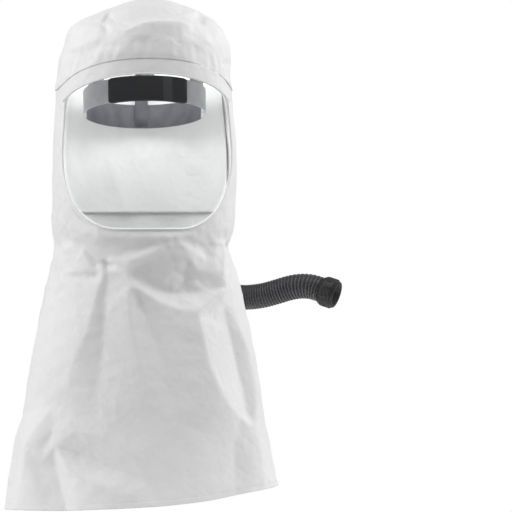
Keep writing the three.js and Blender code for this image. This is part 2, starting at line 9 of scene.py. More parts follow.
import bpy
import numpy as np
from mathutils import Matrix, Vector
from mathutils.geometry import delaunay_2d_cdt

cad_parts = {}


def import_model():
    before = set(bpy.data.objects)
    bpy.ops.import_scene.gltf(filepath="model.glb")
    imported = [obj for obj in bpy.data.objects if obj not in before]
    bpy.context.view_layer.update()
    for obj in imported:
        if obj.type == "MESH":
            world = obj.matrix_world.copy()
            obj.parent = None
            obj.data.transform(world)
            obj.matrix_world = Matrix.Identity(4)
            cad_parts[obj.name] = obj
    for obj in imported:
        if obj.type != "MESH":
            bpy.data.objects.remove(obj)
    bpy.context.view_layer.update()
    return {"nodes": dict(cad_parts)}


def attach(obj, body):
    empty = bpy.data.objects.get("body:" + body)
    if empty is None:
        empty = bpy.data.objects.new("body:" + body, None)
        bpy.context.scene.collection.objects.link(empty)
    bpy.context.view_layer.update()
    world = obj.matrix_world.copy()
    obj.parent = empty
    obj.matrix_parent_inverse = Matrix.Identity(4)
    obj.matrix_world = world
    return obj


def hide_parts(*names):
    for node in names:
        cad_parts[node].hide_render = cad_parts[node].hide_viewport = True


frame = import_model()

MM = 0.001

# Camera and cord route

VIEW_AZIMUTH = math.radians(-4)
VIEW_DISTANCE = 10.0
VIEW_WIDTH = 0.768
VIEW_TARGET = Vector((0.16725, 0.0, -0.230))
SENSOR = 36.0

HOSE_DIAMETER = 38
HOSE_STEP = 0.3
PORT_DROP = 235
PORT_REACH = 42
PORT_FALL = 48
# Across, back and up from the port's end
HOSE_ROUTE = [
    (0, 0, 0), (0, 0, -12), (3, 1, -36), (11, 1.5, -60), (25, 1, -84), (44, -0.5, -107),
    (68, -4, -128), (95, -9.5, -145), (125, -16.5, -158), (157, -25, -163.5), (185, -35, -161),
    (205, -42, -155.8), (223.5, -49.5, -150), (238, -56.5, -147), (251, -62.5, -146.5),
    (262, -67, -148.2), (273, -71.5, -152),
]

# Hood sizes

CROWN_RISE = 154
BELL_LENGTH = 369
SKIRT_LENGTH = 394
FACE_WIDTH = 274
FACE_DEPTH = 276
HEM_WIDTH = 392
HEM_DEPTH = 354
HEM_LIFT = 35
CLOTH = 1.2
MEAN_REACH = (FACE_WIDTH + FACE_DEPTH) / 4

VISOR_SWEEP = 130
VISOR_DROP = 115
VISOR_HEIGHT = 228
VISOR_ARCH = 36
UPPER_CORNER = 12
UPPER_CORNER_SWEEP = 5
LOWER_CORNER = 118
LOWER_CORNER_SWEEP = 45
LOWER_CORNER_POWER = 1.8
VISOR_LAP = 8
BROW_SWEEP = 138
BROW_DROP = 92
BROW_ARCH = 33

SHOULDER_AT = 0.142
SHOULDER_EASE = 0.03
# at runs from 0 at the top to 1 at the waist and 2 at the hem. The sides are shares of half the width or
# depth, and square is the section's superellipse power.
SECTION_COLUMNS = ("at", "left", "right", "front", "back", "square")
SECTIONS = [
    (0.142, 0.855, 0.872, 0.885, 0.77, 2.05),
    (0.187, 0.886, 0.925, 0.96, 0.835, 2.08),
    (0.24, 0.937, 0.938, 1.02, 0.877, 2.12),
    (0.33, 0.957, 0.937, 1.058, 0.905, 2.2),
    (0.45, 0.968, 0.96, 1.08, 0.913, 2.25),
    (0.63, 0.998, 1.0, 1.087, 0.893, 2.25),
    (0.81, 1.015, 0.993, 1.08, 0.866, 2.2),
    (0.92, 1.01, 0.964, 1.035, 0.85, 2.15),
    (1.0, 0.99, 0.9, 0.945, 0.848, 2.1),
    (1.04, 0.985, 0.925, 0.935, 0.85, 2.1),
    (1.12, 1.0, 0.972, 0.945, 0.86, 2.1),
    (1.2, 1.02, 0.988, 0.972, 0.885, 2.1),
    (1.31, 1.035, 0.984, 1.005, 0.915, 2.15),
    (1.5, 1.045, 0.979, 1.035, 0.94, 2.2),
    (1.72, 1.04, 0.97, 1.04, 0.96, 2.25),
    (2.0, 1.04, 0.975, 1.035, 0.967, 2.3),
]
DOME_PEAK = {"left": 2.0, "right": 1.25, "front": 1.2, "back": 1.2}
# How far the hem is drawn up: turn from the front in degrees, share of HEM_LIFT.
HEM_LIFTS = [
    (-90, 0.0), (-50, 0.07), (-10, 0.2), (20, 0.48), (45, 0.8), (70, 0.97), (90, 1.0), (180, 0.5),
    (270, 0.0),
]

# The folds of the back, as in the construction: straight ridges or hollows from one place to another.
# Each row holds turn and at where the fold starts and where it ends, both widths and both heights. Widths
# and heights are shares of FOLD_REACH.
FOLD_REACH = 60
FOLDS = [
    (124, 1.15, 120, 2.0, 0.4, 0.7, 0.06, 0.22),
    (144, 1.2, 143, 2.0, 0.4, 0.6, -0.1, -0.22),
    (166, 1.3, 165, 2.0, 0.4, 0.7, 0.06, 0.2),
    (196, 1.3, 194, 2.0, 0.4, 0.7, -0.08, -0.24),
    (218, 1.15, 220, 2.0, 0.4, 0.7, 0.08, 0.24),
    (243, 1.2, 244, 2.0, 0.4, 0.6, -0.1, -0.2),
    (106, 1.02, 109, 1.8, 0.25, 0.3, 0.05, 0.07),
    (113, 1.05, 116, 1.9, 0.2, 0.3, -0.05, -0.07),
    (256, 1.02, 252, 1.8, 0.25, 0.3, 0.06, 0.07),
    (249, 1.05, 247, 1.7, 0.2, 0.3, -0.05, -0.06),
    (112, 1.0, 150, 0.93, 0.14, 0.2, -0.05, -0.03),
    (118, 1.06, 165, 1.02, 0.16, 0.2, 0.05, 0.03),
    (246, 0.98, 205, 0.94, 0.14, 0.2, -0.05, -0.03),
    (240, 1.05, 196, 1.04, 0.16, 0.2, 0.05, 0.03),
    (132, 1.1, 134, 1.5, 0.14, 0.2, 0.05, 0.02),
    (176, 1.12, 180, 1.7, 0.16, 0.24, 0.05, 0.05),
    (206, 1.14, 206, 1.6, 0.14, 0.22, 0.05, 0.04),
    (100, 0.3, 150, 0.42, 0.14, 0.2, -0.03, -0.02),
    (262, 0.36, 215, 0.3, 0.14, 0.2, -0.03, -0.02),
]

# The fold lines of the front, as they show from the front: across, up, and how far they stand out.
FOLD_LINES = {
    "under the window": [(-79, -191, 2), (-37, -194, 2.5), (8, -194, 2.5), (62, -191, 2)],
    "strip under the window": [(-73, -203, 4), (-22, -206, 6.5), (23, -202, 7.5), (65, -200, 5)],
    "lit patch right of the strip": [(77, -197, 4), (92, -204, 4), (116, -209, 4)],
    "valley over the roll": [(-65, -236, -3), (-52, -230, -1), (-35, -224, 0.5), (-16, -221, 3),
        (8, -212, 5.5), (34, -207, 7), (59, -209, 5), (77, -216, 4), (85, -227, 4)],
    "crest of the roll": [(-53, -239, 3), (-35, -238, 5.5), (-14, -232, 8), (8, -221, 10),
        (31, -215, 10.5), (53, -216, 10.5), (68, -224, 9.5), (85, -236, 8), (101, -236, 10)],
    "lower edge of the roll": [(-44, -246, 3), (-34, -251, 4), (-22, -251, 4), (-10, -246, 6),
        (2, -238, 8), (16, -230, 9), (34, -226, 10), (46, -226, 10), (58, -233, 9), (67, -245, 8),
        (74, -252, 7), (104, -254, 11)],
    "floor of the buckle": [(-5, -258, -1), (11, -252, 1), (31, -251, 2), (49, -257, 0), (68, -264, 1),
        (95, -268, 4)],
    "foot of the buckle": [(-25, -263, 1), (-11, -269, -3), (4, -275, -6), (20, -281, -7), (37, -286, -5),
        (56, -284, -3), (83, -280, 0), (118, -274, 4)],
    "ridge of the shelf": [(-28, -270, 6.5), (-17, -276, 6), (-5, -286, 5), (7, -294, 4.5), (26, -302, 5),
        (49, -310, 8), (73, -317, 13)],
    "top of the lit column": [(-49, -284, 3.5), (-47, -314, 4), (-46, -347, 4), (-43, -386, 3.5),
        (-38, -424, 3), (-34, -458, 2)],
    "left edge of the middle": [(-32, -281, 7.5), (-31, -304, 8), (-28, -329, 7.5), (-22, -359, 7),
        (-16, -389, 6.5), (-8, -419, 6), (-1, -449, 5), (2, -476, 3)],
    "crease in the buckle": [(20, -234, 7.5), (29, -242, 3), (40, -248, 5)],
    "crease in the buckle, right": [(47, -234, 8), (55, -244, 3.5), (64, -251, 5)],
    "crumple in the buckle": [(8, -260, 0), (20, -268, -3), (32, -270, 1)],
    "crumple in the buckle, right": [(41, -262, 3), (53, -268, -3), (68, -272, 2)],
    "middle": [(-14, -298, -1), (-2, -323, -2), (10, -356, -1), (20, -394, 1), (29, -438, 3),
        (37, -476, 3)],
    "corner ridge": [(118, -276, 7), (103, -287, 9), (89, -298, 11), (77, -308, 12), (73, -317, 14)],
    "tuck under the corner": [(82, -317, 5), (92, -312, 3), (104, -300, 2), (112, -294, 2)],
    "left edge of the lit panel": [(74, -326, 13), (80, -356, 13), (89, -395, 13), (101, -420, 13),
        (118, -450, 12), (137, -470, 7)],
    "right edge of the lit panel": [(112, -305, -1), (116, -334, -3), (124, -365, -4), (131, -395, -4),
        (140, -434, -2), (146, -466, 1)],
    "ridge beyond the lit panel": [(130, -323, 4), (140, -347, 7), (149, -370, 9), (157, -400, 10),
        (161, -443, 10)],
    "right panel": [(158, -484, 11), (166, -521, 13), (170, -558, 14)],
    "edge of the front panel": [(116, -210, 9), (116, -230, 13), (116, -252, 13), (116, -272, 9)],
    "behind the front panel": [(122, -221, -2), (124, -239, -3), (125, -260, -3), (125, -278, 0)],
    "pinch": [(-65, -240, -7), (-59, -242, -10), (-53, -244, -6)],
    "left ridge": [(-70, -246, 3), (-71, -266, 5), (-79, -288, 6.5), (-85, -311, 7), (-91, -334, 7.5),
        (-100, -358, 7.5), (-112, -388, 7.5), (-127, -424, 6), (-142, -450, 4)],
    "valley beside the left ridge": [(-62, -252, 1), (-64, -274, 1), (-67, -296, 0.5), (-68, -326, 0),
        (-70, -358, -0.5), (-74, -388, -0.5), (-79, -424, -1), (-82, -454, -1), (-85, -470, -1)],
    "belly over the dent": [(-142, -482, 4), (-109, -488, 5), (-79, -497, 3), (-49, -512, 3),
        (-19, -530, 2)],
    "bottom of the lit column": [(-77, -476, -1), (-58, -484, 1), (-34, -486, 1)],
    "valley of the dent": [(-139, -509, 2), (-124, -516, -4), (-103, -522, -8), (-80, -530, -9),
        (-55, -540, -7), (-28, -552, -4), (-4, -564, -1)],
    "lip of the dent": [(-131, -530, 3), (-121, -545, 5), (-104, -557, 6), (-82, -566, 6), (-59, -572, 5),
        (-35, -582, 4), (-13, -594, 2)],
    "lower left ridge": [(-181, -506, 16), (-164, -503, 10), (-148, -504, 2)],
    "lower left panel": [(-185, -539, 16), (-163, -539, 3), (-137, -539, -8)],
    "lower left panel, middle": [(-190, -569, 16), (-160, -569, 3), (-131, -566, -8)],
    "lower left panel, hem": [(-194, -602, 14), (-157, -602, 3), (-124, -599, -6)],
    "edge from the dent to the hem": [(-122, -558, -2), (-116, -581, -2), (-110, -605, -1)],
    "lower right edge": [(125, -506, 1), (128, -548, 0), (127, -587, 0)],
    "arch on the left": [(-131, -222, -1), (-127, -212, -3), (-118, -206, -3), (-107, -208, -3),
        (-97, -215, -3), (-86, -227, -3), (-76, -240, -3)],
    "pouch under the arch": [(-118, -220, 2), (-107, -233, 4), (-101, -251, 4)],
    "pouch, right": [(-95, -227, 2), (-86, -242, 3), (-80, -254, 3)],
    "wrinkle on the left": [(-127, -258, 1), (-100, -260, -1), (-77, -260, -1)],
    "under the wrinkle": [(-130, -269, 3), (-100, -270, 3), (-82, -270, 4)],
    "crease at the left edge": [(-128, -252, -1), (-134, -264, -3), (-140, -276, -1)],
    "seam over the brow": [(-115, 37, 0), (-89, 50, 0), (-52, 60, 0), (-7, 64, 0), (53, 62, 0),
        (101, 52, 0), (116, 44, 0)],
    "top of the cap": [(-52, 134, 1), (-25, 142, 4.5), (2, 144, 4.5), (32, 142, 4.5), (53, 136, 1)],
    "cap of the crown": [(-58, 122, 0), (-47, 116, 1), (-32, 116, 1.5), (-14, 122, 2), (8, 125, 2),
        (32, 126, 2), (53, 123, 1)],
    "crown ridge": [(-61, 115, 1), (-52, 108, 6), (-38, 105, 10), (-29, 106, 11.5), (-20, 112, 12.5),
        (-7, 117, 13.5), (11, 120, 13.5), (32, 120, 13.5), (50, 119, 12), (62, 114, 9), (70, 109, 3)],
    "under the crown ridge": [(-55, 101, 4), (-38, 98, 8), (-22, 103, 10), (-5, 108, 11.5), (13, 111, 12),
        (32, 111, 12), (50, 110, 10.5), (62, 104, 6)],
    "front of the crown": [(-73, 82, 1.5), (-49, 91, 6), (-22, 94, 8), (8, 97, 8.5), (29, 96, 8),
        (47, 90, 6.5), (62, 84, 3.5)],
    "crown fold, right": [(68, 108, 2), (76, 100, 4), (86, 92, 4), (98, 85, 1)],
    "crown fold, left": [(-122, 73, 0), (-109, 79, 3), (-94, 85, 4), (-77, 92, 4), (-64, 97, 4)],
    "pucker left": [(-62, 130, 2), (-58, 126, -4), (-61, 120, -4)],
    "pucker left, low": [(-73, 112, 1), (-64, 108, -2), (-55, 101, 0)],
    "crown crease, middle": [(-31, 86, 6.5), (-7, 88, 5), (17, 85, 6)],
    "crown crease, right": [(35, 88, 7), (53, 80, 3.5), (74, 74, 1)],
    "crown crease, left": [(-91, 70, 0), (-70, 73, 2.5), (-49, 79, 3)],
    "pucker right": [(68, 130, 1), (73, 124, -5), (79, 116, -5), (85, 108, -1)],
    "pucker right, inner": [(60, 130, 2), (64, 125, -3), (69, 118, -3)],
    "tuck at the right edge": [(121, 67, 0), (124, 58, -3), (122, 49, 0)],
    "window": [(-90, -60, 0), (-86, -120, 0), (-70, -170, 0), (-20, -186, 0), (40, -186, 0),
        (84, -150, 0), (96, -60, 0)],
}


def camera():
    data = bpy.data.cameras.new("camera")
    data.type = "PERSP"
    data.sensor_width = SENSOR
    data.lens = SENSOR * VIEW_DISTANCE / VIEW_WIDTH
    data.clip_end = 200
    data.dof.use_dof = False
    shot = bpy.data.objects.new("camera", data)
    bpy.context.scene.collection.objects.link(shot)
    back = Vector((math.sin(VIEW_AZIMUTH), -math.cos(VIEW_AZIMUTH), 0))
    shot.location = VIEW_TARGET + back * VIEW_DISTANCE
    shot.rotation_euler = (-back).to_track_quat("-Z", "Y").to_euler()
    bpy.context.scene.camera = shot


camera()


def linked(name, data):
    """A new object in the scene."""
    obj = bpy.data.objects.new(name, data)
    bpy.context.scene.collection.objects.link(obj)
    return obj


# Curves and tables


def smoothstep(low, high, x):
    t = np.clip((x - low) / (high - low), 0, 1)
    return t * t * (3 - 2 * t)


def mix(a, b, share):
    return a + (b - a) * share


def circle(sides):
    """Cosines and sines once round."""
    angles = np.linspace(0, 2 * np.pi, sides, endpoint=False)
    return np.stack([np.cos(angles), np.sin(angles)], -1)


def follow(keys, values, x):
    """A smooth curve through a table's rows."""
    keys, values = np.asarray(keys, float), np.asarray(values, float)
    last = len(keys) - 1
    before = np.maximum(np.arange(last + 1) - 1, 0)
    after = np.minimum(np.arange(last + 1) + 1, last)
    slope = (values[after] - values[before]) / (keys[after] - keys[before])
    i = np.clip(np.searchsorted(keys, x, side="left") - 1, 0, last - 1)
    span = keys[i + 1] - keys[i]
    t = np.clip((x - keys[i]) / span, 0, 1)
    keep = 1 - t
    ends = values[i] * keep**2 * (1 + 2 * t) + values[i + 1] * t**2 * (3 - 2 * t)
    return ends + slope[i] * span * t * keep**2 - slope[i + 1] * span * t**2 * keep


SECTION = dict(zip(SECTION_COLUMNS, np.array(SECTIONS).T))


def section(column, at):
    return follow(SECTION["at"], SECTION[column], np.maximum(at, SHOULDER_AT))


def counted_from(lowest, turn):
    return np.where(turn < lowest, turn + 360, turn)


# The hood's form. All of these take and give millimetres, and arrays.


def level_height(at):
    return CROWN_RISE - BELL_LENGTH * np.minimum(at, 1) - SKIRT_LENGTH * np.maximum(at - 1, 0)


def level_of(drop):
    return np.asarray(drop, float) / BELL_LENGTH


def reach(side, at):
    flare = np.maximum(at - 1, 0)
    across = side in ("left", "right")
    whole = mix(FACE_WIDTH, HEM_WIDTH, flare) if across else mix(FACE_DEPTH, HEM_DEPTH, flare)
    fallen = 1 - np.minimum(at, SHOULDER_AT) / SHOULDER_AT
    # Above the shoulder the share goes on shrinking for a little, so that no kink shows there.
    shares = SECTION[side]
    slope = (shares[1] - shares[0]) / (SECTION["at"][1] - SECTION["at"][0])
    above = SHOULDER_AT - np.minimum(at, SHOULDER_AT)
    share = section(side, at) - slope * SHOULDER_EASE * (1 - np.exp(-above / SHOULDER_EASE))
    return whole / 2 * share * np.sqrt(1 - fallen**2) ** DOME_PEAK[side]


def smooth_place(turn, at):
    angle = np.radians(turn)
    power = 2 / section("square", at)
    sideways = np.sign(np.sin(angle)) * np.abs(np.sin(angle)) ** power
    forwards = np.sign(np.cos(angle)) * np.abs(np.cos(angle)) ** power
    keys, shares = zip(*HEM_LIFTS)
    lift = HEM_LIFT * follow(keys, shares, counted_from(keys[0], turn)) * np.maximum(at - 1, 0) ** 2
    x = sideways * np.where(sideways < 0, reach("left", at), reach("right", at))
    y = -forwards * np.where(forwards > 0, reach("front", at), reach("back", at))
    return np.stack([x, y, level_height(at) + lift], -1)


def outwards(turn, at):
    nudge_turn, nudge_at = 0.5, 0.004
    low, high = np.minimum(at + nudge_at, 2), np.maximum(at - nudge_at, nudge_at / 2)
    around = smooth_place(turn + nudge_turn, at) - smooth_place(turn - nudge_turn, at)
    up = smooth_place(turn, high) - smooth_place(turn, low)
    normal = np.cross(around, up)
    return normal / np.linalg.norm(normal, axis=-1, keepdims=True)


def unrolled(turn, at):
    """A place on the hood unrolled flat, as millimetres round and millimetres up."""
    return np.stack([np.radians(turn) * MEAN_REACH, level_height(at)], -1)


def fold_rise(turn, at):
    """How far the folds of the back move the fabric outwards."""
    place = unrolled(counted_from(0, turn), at)
    rise = np.zeros(np.shape(turn))
    for turn_a, at_a, turn_b, at_b, wide_a, wide_b, high_a, high_b in FOLDS:
        start = unrolled(turn_a, at_a)
        along = unrolled(turn_b, at_b) - start
        share = np.clip((place - start) @ along / (along @ along), 0, 1)
        away = np.linalg.norm(place - start - share[..., None] * along, axis=-1)
        near = 1 - np.minimum(away / (FOLD_REACH * mix(wide_a, wide_b, share)), 1)
        bump = 0.5 * near**2 + 0.25 - 0.25 * np.cos(np.pi * near)
        rise += FOLD_REACH * mix(high_a, high_b, share) * bump
    return rise


FRONT_LEFT, FRONT_RIGHT, FRONT_LOW, FRONT_HIGH = -240, 240, -660, 180
FRONT_STEP = 2
BORDER_STEP = 60
MERGED_WITHIN = 0.5
FOLD_SOFTNESS = 1.9
SOFTENED_STEPS = 4
FOLD_DEPTH = 1.5


def crossed(p, q):
    """The cross product of flat vectors."""
    return p[..., 0] * q[..., 1] - q[..., 0] * p[..., 1]


def fold_facets():
    """Heights over the front on a fine grid: flat facets between the fold lines, with softened edges."""
    points, heights, edges = [], [], []
    for line in FOLD_LINES.values():
        edges += [(i, i + 1) for i in range(len(points), len(points) + len(line) - 1)]
        points += [Vector(point[:2]) for point in line]
        heights += [point[2] for point in line]
    for z in range(FRONT_LOW, FRONT_HIGH + 1, BORDER_STEP):
        points += [Vector((FRONT_LEFT, z)), Vector((FRONT_RIGHT, z))]
    for x in range(FRONT_LEFT + BORDER_STEP, FRONT_RIGHT, BORDER_STEP):
        points += [Vector((x, FRONT_LOW)), Vector((x, FRONT_HIGH))]
    heights += [0] * (len(points) - len(heights))
    found, _, triangles, sources, _, _ = delaunay_2d_cdt(points, edges, [], 0, MERGED_WITHIN)
    if any(not source for source in sources):
        crossings = [tuple(round(v) for v in spot) for spot, source in zip(found, sources) if not source]
        raise SystemExit(f"fold lines cross at {crossings}")
    rise = FOLD_DEPTH * np.array([heights[source[0]] for source in sources], float)
    across = np.arange(FRONT_LEFT, FRONT_RIGHT + 1, FRONT_STEP)
    up = np.arange(FRONT_LOW, FRONT_HIGH + 1, FRONT_STEP)
    grid = np.zeros((len(up), len(across)))
    origin, slack = np.array([FRONT_LEFT, FRONT_LOW]), 1e-6
    for i, j, k in triangles:
        corners = np.array([found[i], found[j], found[k]])
        low = np.floor((corners.min(axis=0) - origin) / FRONT_STEP).astype(int)
        high = np.ceil((corners.max(axis=0) - origin) / FRONT_STEP).astype(int)
        rows, columns = slice(low[1], high[1] + 1), slice(low[0], high[0] + 1)
        spot = np.stack(np.meshgrid(across[columns], up[rows]), -1) - corners[0]
        b, c = corners[1:] - corners[0]
        share_b, share_c = crossed(spot, c) / crossed(b, c), crossed(b, spot) / crossed(b, c)
        inside = (share_b > -slack) & (share_c > -slack) & (share_b + share_c < 1 + slack)
        height = mix(rise[i], rise[j], share_b) + share_c * (rise[k] - rise[i])
        grid[rows, columns] = np.where(inside, height, grid[rows, columns])
    steps = np.arange(-SOFTENED_STEPS, SOFTENED_STEPS + 1)
    weights = np.exp(-0.5 * (steps * FRONT_STEP / FOLD_SOFTNESS) ** 2)
    for axis in (0, 1):
        grid = sum(w * np.roll(grid, step, axis) for step, w in zip(steps, weights / weights.sum()))
    return grid


def front_rise(place):
    """How far the front's folds move the fabric, by where it shows from the front. They end at the sides."""
    fade = 40
    column = np.clip((place[..., 0] - FRONT_LEFT) / FRONT_STEP, 0, FACETS.shape[1] - 1.001)
    row = np.clip((place[..., 2] - FRONT_LOW) / FRONT_STEP, 0, FACETS.shape[0] - 1.001)
    i, j = row.astype(int), column.astype(int)
    lower = mix(FACETS[i, j], FACETS[i, j + 1], column - j)
    upper = mix(FACETS[i + 1, j], FACETS[i + 1, j + 1], column - j)
    return mix(lower, upper, row - i) * smoothstep(0, -fade, place[..., 1])


def seam_drop(turn):
    """How far below the top the seam between crown and body lies."""
    a = np.abs((np.asarray(turn, float) + 180) % 360 - 180) / (VISOR_SWEEP / 2)
    settle = 13
    beyond = BROW_DROP + BROW_ARCH + settle * (1 - np.exp(-2 * BROW_ARCH * np.maximum(a - 1, 0) / settle))
    return np.where(a < 1, BROW_DROP + BROW_ARCH * a**2, beyond)


SEAM_BULGE = 1.5
GATHER_DEPTH = 0.4


def seam_rise(turn, at):
    """How far the crown's cloth stands out over the seam, with its small gathers there."""
    above = seam_drop(turn) - at * BELL_LENGTH
    gathers = np.sin(turn * 0.55 + 1.3 * np.sin(turn * 0.13)) + 0.6 * np.sin(turn * 0.92 + 1.0)
    near = smoothstep(34, 14, above) * smoothstep(0, 9, above)
    return SEAM_BULGE * smoothstep(26, 3, above) + GATHER_DEPTH * gathers * near


def soft_noise(place, size, seed):
    """Smooth unevenness from sums of waves, from -1 to 1 or so."""
    random = np.random.default_rng(seed)
    total = np.zeros(place.shape[:-1])
    waves = 14
    for _ in range(waves):
        direction = random.normal(size=3)
        direction /= np.linalg.norm(direction)
        length = size * random.uniform(0.7, 1.6)
        total += np.sin(2 * np.pi * place @ direction / length + random.uniform(0, 2 * np.pi))
    return total / math.sqrt(waves)


def crumple(place, size, seed):
    """Creased unevenness: ridges where two smooth ones meet, from -0.6 to 1 or so."""
    return np.abs(soft_noise(place, size, seed)) - 0.6


FACETS = fold_facets()
FORWARD_PULL = 1.5
# The unevenness between the folds, as height, size and seed. It is strongest at the waist.
WAVE = (0.6, 80, 3)
CRUMPLES = [(1.1, 62, 8), (0.5, 27, 15)]
WAIST_AT, WAIST_SPREAD, WAIST_EXTRA, CRUMPLE_SHARE = 1.04, 0.14, 0.7, 0.7


def hood_place(turn, at, offset, crown=False):
    """A place on the fabric with all of its folds, or offset from it."""
    turn, at = np.asarray(turn, float), np.asarray(at, float)
    base, normal = smooth_place(turn, at), outwards(turn, at)
    rise = fold_rise(turn, at)
    clear = smoothstep(1, 10, window_distance(turn, at))
    forwards = normal + FORWARD_PULL * np.array([0, -1.0, 0])
    forwards /= np.linalg.norm(forwards, axis=-1, keepdims=True)
    front = front_rise(base) * clear
    base = base + forwards * (front_rise(base + forwards * front[..., None]) * clear)[..., None]
    strength = CRUMPLE_SHARE + WAIST_EXTRA * np.exp(-(((at - WAIST_AT) / WAIST_SPREAD) ** 2))
    creases = sum(height * crumple(base, size, seed) for height, size, seed in CRUMPLES)
    fine = WAVE[0] * soft_noise(base, *WAVE[1:]) - strength * creases
    if crown:
        fine += seam_rise(turn, at)
    rise = rise + fine * clear + offset
    return base + normal * rise[..., None]


def plain_place(turn, at, offset):
    """A place on the hood's form without the folds of the front, for what lies flat on it."""
    turn, at = np.asarray(turn, float), np.asarray(at, float)
    return smooth_place(turn, at) + outwards(turn, at) * (fold_rise(turn, at) + offset)[..., None]


# The window


def corner_rise(share, power):
    t = np.clip(share, 0, 1)
    return 1 - (1 - t**power) ** (1 / power)


def window_sweep(grow):
    return VISOR_SWEEP + 2 * math.degrees(grow / MEAN_REACH)


def window_edges(grow, turn):
    """The drops of the grown window's top and bottom edges."""
    sweep, away = window_sweep(grow), np.abs(turn)
    upper = (away - sweep / 2 + UPPER_CORNER_SWEEP) / UPPER_CORNER_SWEEP
    lower = (away - sweep / 2 + LOWER_CORNER_SWEEP) / LOWER_CORNER_SWEEP
    arch = VISOR_ARCH * (away / (VISOR_SWEEP / 2)) ** 2
    top = VISOR_DROP - grow + arch + UPPER_CORNER * corner_rise(upper, 2)
    bottom = VISOR_DROP + VISOR_HEIGHT + grow - LOWER_CORNER * corner_rise(lower, LOWER_CORNER_POWER)
    return top, bottom


def crowded(sweep, share):
    """Turns across a sweep that crowd towards both ends, where the corners are round."""
    return np.sin(np.radians(mix(-90, 90, share))) * sweep / 2


def window_loop(grow, across, down):
    """Turn and drop of the grown window's outline, once round."""
    sweep = window_sweep(grow)
    turns = crowded(sweep, np.linspace(0, 1, across + 1))
    top, bottom = window_edges(grow, turns)
    inner = np.linspace(0, 1, down + 1)[1:-1]
    right = np.stack([np.full(down - 1, turns[-1]), mix(top[-1], bottom[-1], inner)], -1)
    left = np.stack([np.full(down - 1, turns[0]), mix(top[0], bottom[0], inner)], -1)
    upper, lower = np.stack([turns, top], -1), np.stack([turns, bottom], -1)
    return np.concatenate([upper, right, lower[::-1], left[::-1]])


def flat_spot(turn, drop):
    """A place on the hood unrolled flat, as millimetres round and millimetres down."""
    return np.stack([np.radians(turn) * MEAN_REACH, np.asarray(drop, float)], -1)


# The window's outline, unrolled flat
WINDOW_LINE = flat_spot(*window_loop(0, 160, 60).T)
PORT_SPOT = flat_spot(180.0, PORT_DROP)


def nearest_on(line, spots):
    """For each spot, the nearest point of a closed line and how far off it is."""
    best = np.full(len(spots), np.inf)
    found = np.zeros((len(spots), 2))
    for a, b in zip(line, np.roll(line, -1, axis=0)):
        along = b - a
        if along @ along < 1e-9:
            continue
        share = np.clip((spots - a) @ along / (along @ along), 0, 1)
        point = a + share[:, None] * along
        away = np.linalg.norm(spots - point, axis=1)
        closer = away < best
        best = np.where(closer, away, best)
        found = np.where(closer[:, None], point, found)
    return found, best


def window_distance(turn, at):
    """How far a place is outside the window's edge. Far places count as far, which is 60 mm."""
    far, beside, beyond = 60.0, 20, 40
    shape = np.shape(turn)
    turn, drop = np.ravel(turn), np.ravel(at) * BELL_LENGTH
    away = np.full(turn.shape, far)
    level = (drop > VISOR_DROP - beyond) & (drop < VISOR_DROP + VISOR_HEIGHT + beyond)
    near = level & (np.abs(turn) < VISOR_SWEEP / 2 + beside)
    away[near] = nearest_on(WINDOW_LINE, flat_spot(turn[near], drop[near]))[1]
    return away.reshape(shape)


# Mesh helpers


def piece(name, points, faces, slot):
    """A new piece from points in millimetres, on the body root, in the look of its slot."""
    points = np.asarray(points, float)
    fans = [(f[0], f[k], f[k + 1]) for f in faces for k in range(1, len(f) - 1)]
    a, b, c = np.moveaxis(points[np.array(fans)], 1, 0)
    inside_out = np.einsum("ij,ij->", a - points.mean(axis=0), np.cross(b - a, c - a)) < 0
    mesh = bpy.data.meshes.new(name)
    rows = [tuple(int(i) for i in (f[::-1] if inside_out else f)) for f in faces]
    mesh.from_pydata((points * MM).tolist(), [], rows)
    mesh.validate()
    mesh.update()
    mesh.polygons.foreach_set("use_smooth", [True] * len(mesh.polygons))
    obj = linked(name, mesh)
    mesh.materials.append(LOOKS[slot])
    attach(obj, "root")
    return obj


def grid_faces(rows, columns, close_rows=False, close_columns=False):
    """Quads over a grid of rows and columns of points."""
    i, j = np.indices((rows - (not close_rows), columns - (not close_columns)))
    down, right = (i + 1) % rows, (j + 1) % columns
    quads = np.stack([i * columns + j, down * columns + j, down * columns + right, i * columns + right], -1)
    return quads.reshape(-1, 4)


def swept(rings, close_path=False):
    """A tube through an array of rings, each a closed loop of points. An open path gets an end face at
    each end."""
    count, sides = rings.shape[:2]
    faces = grid_faces(count, sides, close_rows=close_path, close_columns=True).tolist()
    if not close_path:
        faces.append(list(range(sides)))
        faces.append(list(range((count - 1) * sides, count * sides))[::-1])
    return rings.reshape(-1, 3), faces


def plate(sweep, edges, inside, outside, across, down):
    """A closed curved plate between two offsets from the hood's surface."""
    turns = crowded(sweep, np.linspace(0, 1, across + 1))
    top, bottom = edges(turns)
    drops = mix(top[:, None], bottom[:, None], np.linspace(0, 1, down + 1)[None, :])
    spread = np.broadcast_to(turns[:, None], drops.shape)
    skins = [plain_place(spread, level_of(drops), offset).reshape(-1, 3) for offset in (inside, outside)]
    return closed_skins(*skins, grid_faces(across + 1, down + 1))


def closed_skins(inner, outer, faces):
    """Two skins with the same faces, joined along every open edge. Returns points and faces."""
    count = len(outer)
    faces = [[int(i) for i in face] for face in faces]
    edges = {edge: True for face in faces for edge in zip(face, face[1:] + face[:1])}
    rim = [(a, b) for a, b in edges if (b, a) not in edges]
    all_faces = faces + [[i + count for i in face][::-1] for face in faces]
    all_faces += [[b, a, a + count, b + count] for a, b in rim]
    return np.concatenate([outer, inner]), all_faces


# Materials


def tree_of(name):
    material = bpy.data.materials.new(name)
    material.use_nodes = True
    return material, material.node_tree, material.node_tree.nodes["Principled BSDF"]


